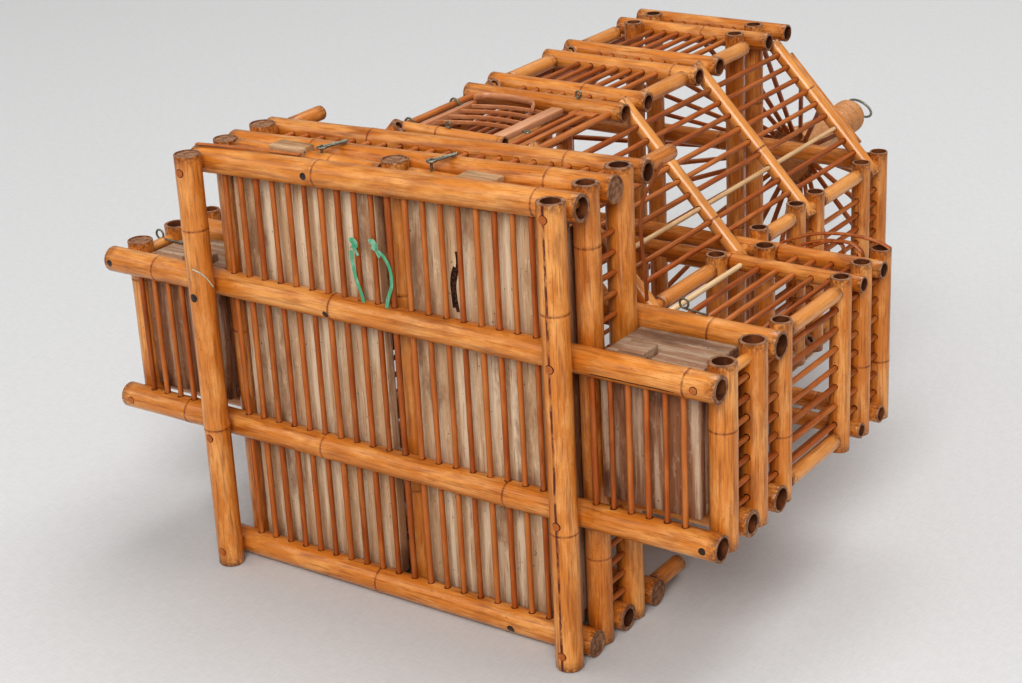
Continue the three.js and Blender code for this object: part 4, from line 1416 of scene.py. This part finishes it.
BOARD_CRACKS = (
    (1.5, (60.2, 121), (61.4, 114), (59, 104), (56.5, 95), (56.8, 84), (58.5, 73)),
    (2.4, (58.5, 108), (55, 100), (55.2, 88), (56.2, 76)),
)


def build_boards(sizes):
    """The two sliding boards, with their cane edge, block and nail."""
    thick = 0.010
    edge = 0.0084
    for side_name, side in SIDES:
        low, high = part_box(f"board_{side_name}")
        reach = LYING - low.z
        top = LYING + reach
        plate = box_part(low, Vector((high.x, low.y + thick, top)), "board", 0.0009, 3)
        weathered(plate, 0.0004, 0.011)
        cane_start = Vector((low.x, sizes.tray_post, top))
        cane_end = Vector((high.x, sizes.tray_post, top))
        spot = {"left": -0.098, "right": 0.079}[side_name]
        block = box_part(
            Vector((spot - 0.016, low.y, top - 0.012)),
            Vector((spot + 0.016, low.y + 2 * edge, top + 0.012)), "batten", 0.0012, 2)
        nail_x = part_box(f"hook_{side_name}")[0].x + 0.004
        nail = wire_part([Vector((nail_x, sizes.tray_post, level))
                          for level in (top, top + 0.006, high.z - 0.0002)], 0.0011)
        parts = [plate, block, nail,
                 cane(cane_start, cane_end, edge, facing=DEEP, tone=0.0, closed=(True, True))]
        if side > 0:
            # Cracks in the right board: dark bands of painted shade
            for half_width, *points in BOARD_CRACKS:
                crack = [Vector((width / 1000, low.y, LYING + depth / 1000)) for width, depth in points]
                parts.append(band_part(crack, half_width / 1000, "gap"))
        settle(f"board_{side_name}", parts, body=f"board_{side_name}")


def build_wing_trays(sizes):
    """Open boxes that slide into the wings."""
    wall = 0.009
    for side_name, side in SIDES:
        node = f"wing_tray_{side_name}"
        low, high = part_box(node)
        top = LYING + sizes.half_wing + 0.0025
        front = low.y + wall
        spot = side * (sizes.half_body + sizes.base_cane + 0.0295)
        blocks = (  # two corners of each plank, its material and its cuts
            (low, (high.x, front, top - 0.001), "tray", 2),
            ((low.x, front - 0.001, top - wall), (high.x, high.y, top), "plank", 2),
            ((low.x, front, low.z), (high.x, high.y, low.z + wall), "tray", 0),
            ((low.x, front, low.z + wall), (low.x + wall, high.y, top - wall), "tray", 0),
            ((high.x - wall, front, low.z + wall), (high.x, high.y, top - wall), "tray", 0),
            ((spot - 0.011, low.y, top - 0.001), (spot + 0.011, low.y + 0.020, high.z), "plank", 1),
        )
        parts = [box_part(Vector(start), Vector(end), material, 0.001, cuts)
                 for start, end, material, cuts in blocks]
        settle(node, parts, body=f"tray_{side_name}")


def build_hooks(sizes):
    """Wire hooks of the boards: a loop round the nail and two legs over the tray rail."""
    for side_name, _ in SIDES:
        low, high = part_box(f"hook_{side_name}")
        centre = Vector((low.x + 0.0042, low.y + 0.0042, (low.z + high.z) / 2))
        aim = Vector((low.x + 0.0115, high.y, centre.z)) - centre
        hook = cotter(centre, aim, 0.0032, aim.length - 0.0008)
        settle(f"hook_{side_name}", [hook], body=f"hook_{side_name}")


DOOR_STRIPS = ((139, 152), (156, 166), (173, 182), (189, 197))  # heights at both ends, in millimetres
DOOR_ARCH = ((-50.5, 196), (-48, 202), (-42, 206.5), (-30, 208.2), (-12, 208.4), (0, 205), (8, 198),
             (11, 190))  # widths and heights of the bent top, in millimetres


def build_door(sizes):
    """The door: a bottom rail, two stiles, thin bowed strips, a bent top and its wire eyes."""
    low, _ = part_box("door")
    height = low.y + 0.0056
    depth = sizes.flat_depth
    hinge = -sizes.crown_half
    left, right = hinge + 0.015, hinge + 0.089
    foot = sizes.sill + sizes.wall_cane + GAP
    parts = [
        cane(at(hinge - 0.002, height, depth), at(right + 0.011, height, depth), 0.0053, rings=(-0.012,),
             facing=DEEP, tone=0.25, singles=[(-0.034, 0, 0.0016), (-0.030, 0, 0.0012)]),
        box_part(at(left - 0.0026, foot, depth - 0.0028),
                 at(left + 0.0026, BASE + 0.197, depth + 0.0028), "slat"),
        box_part(at(right - 0.0058, foot, depth - 0.0026),
                 at(right + 0.0055, BASE + 0.209, depth + 0.0030), "slat", 0.0012),
    ]
    for part, tone in zip(parts[1:], (0.0, 0.45)):
        note_cane(part.data, points_of(part.data)[:, (0, 2, 1)], tone)
    for first, last in DOOR_STRIPS:
        points = [at(left + (right - left) * share, BASE + (first + (last - first) * share) / 1000
                     + 0.007 * math.sin(math.pi * share), depth) for share in (0, 0.25, 0.5, 0.75, 1)]
        parts.append(strip_part(points, 0.0019, 0.0010, "slat", tone=-0.3))
    points = [at(width / 1000, BASE + up / 1000, depth + 0.0055) for width, up in DOOR_ARCH]
    parts.append(strip_part(points, 0.0028, 0.0013, "slat", tone=0.1))
    eye = 0.0046
    for up in (foot - GAP + 0.010, BASE + 0.190):
        centre = at(hinge, up, depth)
        parts.append(wire_part(circle(centre, eye), EYE_WIRE, closed=True))
        parts.append(wire_part([centre + WIDE * reach for reach in (eye, 0.010, 0.015)], EYE_WIRE))
    parts.append(screw_eye(at(-0.019, height, depth + 0.0080), 0.0024, at(-0.019, height, depth)))
    parts.append(cotter(at(0.0335, BASE + 0.149, depth), Vector((-1, 0.3, 0)), 0.0022, 0.007, 0.0008))
    settle("door", parts, body="door")


def build_doorway_rods(sizes):
    """A flat slat over the doorway, and a flat and a round rod beside it."""
    low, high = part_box("doorway_rods")
    depth = sizes.flat_depth
    level = (low.z + high.z) / 2
    slat = box_part(Vector((low.x, high.y - 0.0127, level - 0.0015)),
                    Vector((high.x, high.y - 0.0030, level + 0.0015)), "rod")
    second = box_part(Vector((low.x + 0.0118, low.y, depth + LYING - 0.0014)),
                      Vector((low.x + 0.0172, high.y, depth + LYING + 0.0014)), "rod")
    note_cane(slat.data, points_of(slat.data)[:, (1, 2, 0)], 0.5)
    note_cane(second.data, points_of(second.data)[:, (0, 2, 1)], 0.35)
    parts = [slat, second, rod(at(low.x + 0.005, low.y, depth), at(low.x + 0.005, high.y, depth), tone=0.1)]
    settle("doorway_rods", parts)


TIE_STRANDS = (  # half width, then the width and depth of each point, in millimetres
    (1.7, (-28, 112), (-28, 105), (-27, 97), (-25.3, 89), (-22.4, 81), (-20.5, 76), (-20, 70)),
    (1.6, (-2.5, 116), (2.2, 114), (5.3, 109.7), (8.2, 104.8), (9.5, 96.8), (8.9, 89.3), (5.9, 82),
     (3.4, 76), (2.8, 70)),
    (1.4, (-25.3, 116.5), (-22.2, 113.2), (-20.7, 109.5)),
    (1.3, (-6.3, 117.5), (-3, 115), (-1.7, 110.5)),
    (2.4, (-28, 120), (-25, 121.5), (-22.5, 118.5), (-23.5, 115.5), (-26.5, 117)),
    (2.3, (-8.7, 122), (-6, 124), (-3.4, 121), (-4, 117.5), (-7, 119)),
)


STRING_TURNS = (  # angle round the post from its front, in radians, and depth
    (0.20, 0.0835), (0.55, 0.0820), (0.95, 0.0785), (1.35, 0.0730), (1.70, 0.0660),
)


def build_ties(sizes):
    """The green tie on the base rods and the end of string on the left foot post."""
    strands = []
    for index, (half_width, *points) in enumerate(TIE_STRANDS):
        front = sizes.base_rail - sizes.rod - 0.0006 - 0.0007 * (index % 3)
        strands.append(band_part(
            [at(width / 1000, front, depth / 1000) for width, depth in points], half_width / 1000, "tie"))
    extra("Green_tie", strands)
    reach = sizes.base_cane * SKIN + 0.0004
    string = [at(reach * math.sin(angle) - sizes.half_body, sizes.foot_post - reach * math.cos(angle), depth)
              for angle, depth in STRING_TURNS]
    extra("String_end", [wire_part(string, 0.0006, "string")])


def build_wing_hooks(sizes):
    """Wire hooks at the wing trays, and the eye over the doorway."""
    tray, floor = BASE + 0.0495, BASE + 0.0935
    left = screw_eye(at(-0.2795, tray, 0.0680), 0.0040,
                     at(-0.272, tray - 0.001, 0.0652), at(-0.251, tray - 0.003, 0.0652))
    extra("Wing_hook_left", [left], body="tray_left")
    right = screw_eye(at(0.2045, floor, 0.0775), 0.0038,
                      at(0.211, floor - 0.001, 0.0735), at(0.226, floor - 0.003, 0.0732))
    extra("Wing_hook_right", [right])
    eye = screw_eye(at(0.0345, BASE + 0.2225, 0.1825), 0.0026, at(0.0345, BASE + 0.2225, 0.176))
    extra("Door_eye", [eye])


# Stage

CAMERA_SPOT = (0.92948411, -1.55020464, 0.82723649)
CAMERA_TURN = (1.17862706, 0.04781038, 0.5977542)
CAMERA_LENS = 73.84


def build_stage():
    """Pale floor, soft studio light and the camera of the photograph."""
    bpy.ops.object.select_all(action="DESELECT")
    bpy.ops.mesh.primitive_plane_add(size=14, location=(0, 0, -0.0003))
    floor = bpy.context.object
    floor.name = "Floor"
    floor.data.materials.append(floor_material(list(bpy.context.scene.cage_colours.floor)))
    world = bpy.data.worlds.new("Studio")
    bpy.context.scene.world = world
    world.use_nodes = True
    background = world.node_tree.nodes["Background"]
    background.inputs["Color"].default_value = (1.0, 0.99, 0.985, 1)
    background.inputs["Strength"].default_value = 0.28
    for name, place, size, power in (
            ("Key light", (2.5, -4.7, 3.8), 3.2, 212),
            ("Fill light", (-3.4, -3.6, 3.2), 3.5, 32),
            ("Top light", (0.3, 1.8, 5.2), 4.0, 121)):
        bpy.ops.object.light_add(type="AREA", location=place)
        light = bpy.context.object
        light.name = name
        light.data.size = size
        light.data.energy = power
        light.rotation_euler = (Vector((0, 0, 0.15)) - Vector(place)).to_track_quat("-Z", "Y").to_euler()
    bpy.ops.object.camera_add(location=CAMERA_SPOT, rotation=CAMERA_TURN)
    camera = bpy.context.object
    camera.data.lens = CAMERA_LENS
    camera.data.sensor_width = 36
    bpy.context.scene.camera = camera
    bpy.context.scene.view_settings.view_transform = "Standard"
    bpy.context.scene.view_settings.look = "High Contrast"


# Operators

class Step(bpy.types.Operator):
    """Builds one group of pieces"""
    bl_idname = "cage.step"
    bl_label = "Step"
    builders = ()

    def execute(self, context):
        sizes = plan()
        for builder in self.builders:
            builder(sizes)
        return {"FINISHED"}


class BuildStage(bpy.types.Operator):
    """Makes the floor, the lights and the camera"""
    bl_idname = "cage.stage"
    bl_label = "Stage"

    def execute(self, context):
        build_stage()
        return {"FINISHED"}


class BuildBase(Step):
    """Makes the base: posts, rails, corner bars and the grille of rods"""
    bl_idname = "cage.base"
    bl_label = "Base"
    builders = (build_corner_bars, build_posts, build_base_grille, build_tray_rails, build_small_rods)


class BuildWings(Step):
    """Makes the walls and frames of both wings"""
    bl_idname = "cage.wings"
    bl_label = "Wings"
    builders = (build_wing_walls, build_wing_frames, build_inner_posts, build_bent_strips)


class BuildTower(Step):
    """Makes the eight walls of the tower"""
    bl_idname = "cage.tower"
    bl_label = "Tower"
    builders = (build_slanted_walls, build_flat_walls, build_side_walls)


class BuildRoof(Step):
    """Makes the fans of rods above the tower"""
    bl_idname = "cage.roof"
    bl_label = "Roof"
    builders = (build_roof,)


class BuildFinial(Step):
    """Makes the turned finial and the hanging ring"""
    bl_idname = "cage.finial"
    bl_label = "Finial and ring"
    builders = (build_finial,)


class BuildBoards(Step):
    """Makes the sliding boards, the wing trays, the wire hooks and the ties"""
    bl_idname = "cage.boards"
    bl_label = "Boards, trays and hooks"
    builders = (build_boards, build_wing_trays, build_hooks, build_wing_hooks, build_ties)


class BuildDoor(Step):
    """Makes the door and the rods beside the doorway"""
    bl_idname = "cage.door"
    bl_label = "Door"
    builders = (build_door, build_doorway_rods)


OPERATORS = (BuildStage, BuildBase, BuildWings, BuildTower, BuildRoof, BuildFinial, BuildBoards, BuildDoor)


class CagePanel(bpy.types.Panel):
    """Sizes, colours and steps of the birdcage"""
    bl_idname = "VIEW3D_PT_birdcage"
    bl_label = "Birdcage"
    bl_space_type = "VIEW_3D"
    bl_region_type = "UI"
    bl_category = "Birdcage"

    def draw(self, context):
        for group in (context.scene.cage_sizes, context.scene.cage_colours):
            for name in type(group).__annotations__:
                self.layout.prop(group, name)
        for operator in OPERATORS:
            self.layout.operator(operator.bl_idname)


CLASSES = (CageSizes, CageColours, *OPERATORS, CagePanel)


def register():
    for item in CLASSES:
        bpy.utils.register_class(item)
    bpy.types.Scene.cage_sizes = bpy.props.PointerProperty(type=CageSizes)
    bpy.types.Scene.cage_colours = bpy.props.PointerProperty(type=CageColours)


def unregister():
    del bpy.types.Scene.cage_colours
    del bpy.types.Scene.cage_sizes
    for item in reversed(CLASSES):
        bpy.utils.unregister_class(item)


def main():
    register()
    for operator in OPERATORS:
        group, name = operator.bl_idname.split(".")
        getattr(getattr(bpy.ops, group), name)()
    remove_masters()


if __name__ == "__main__":
    main()
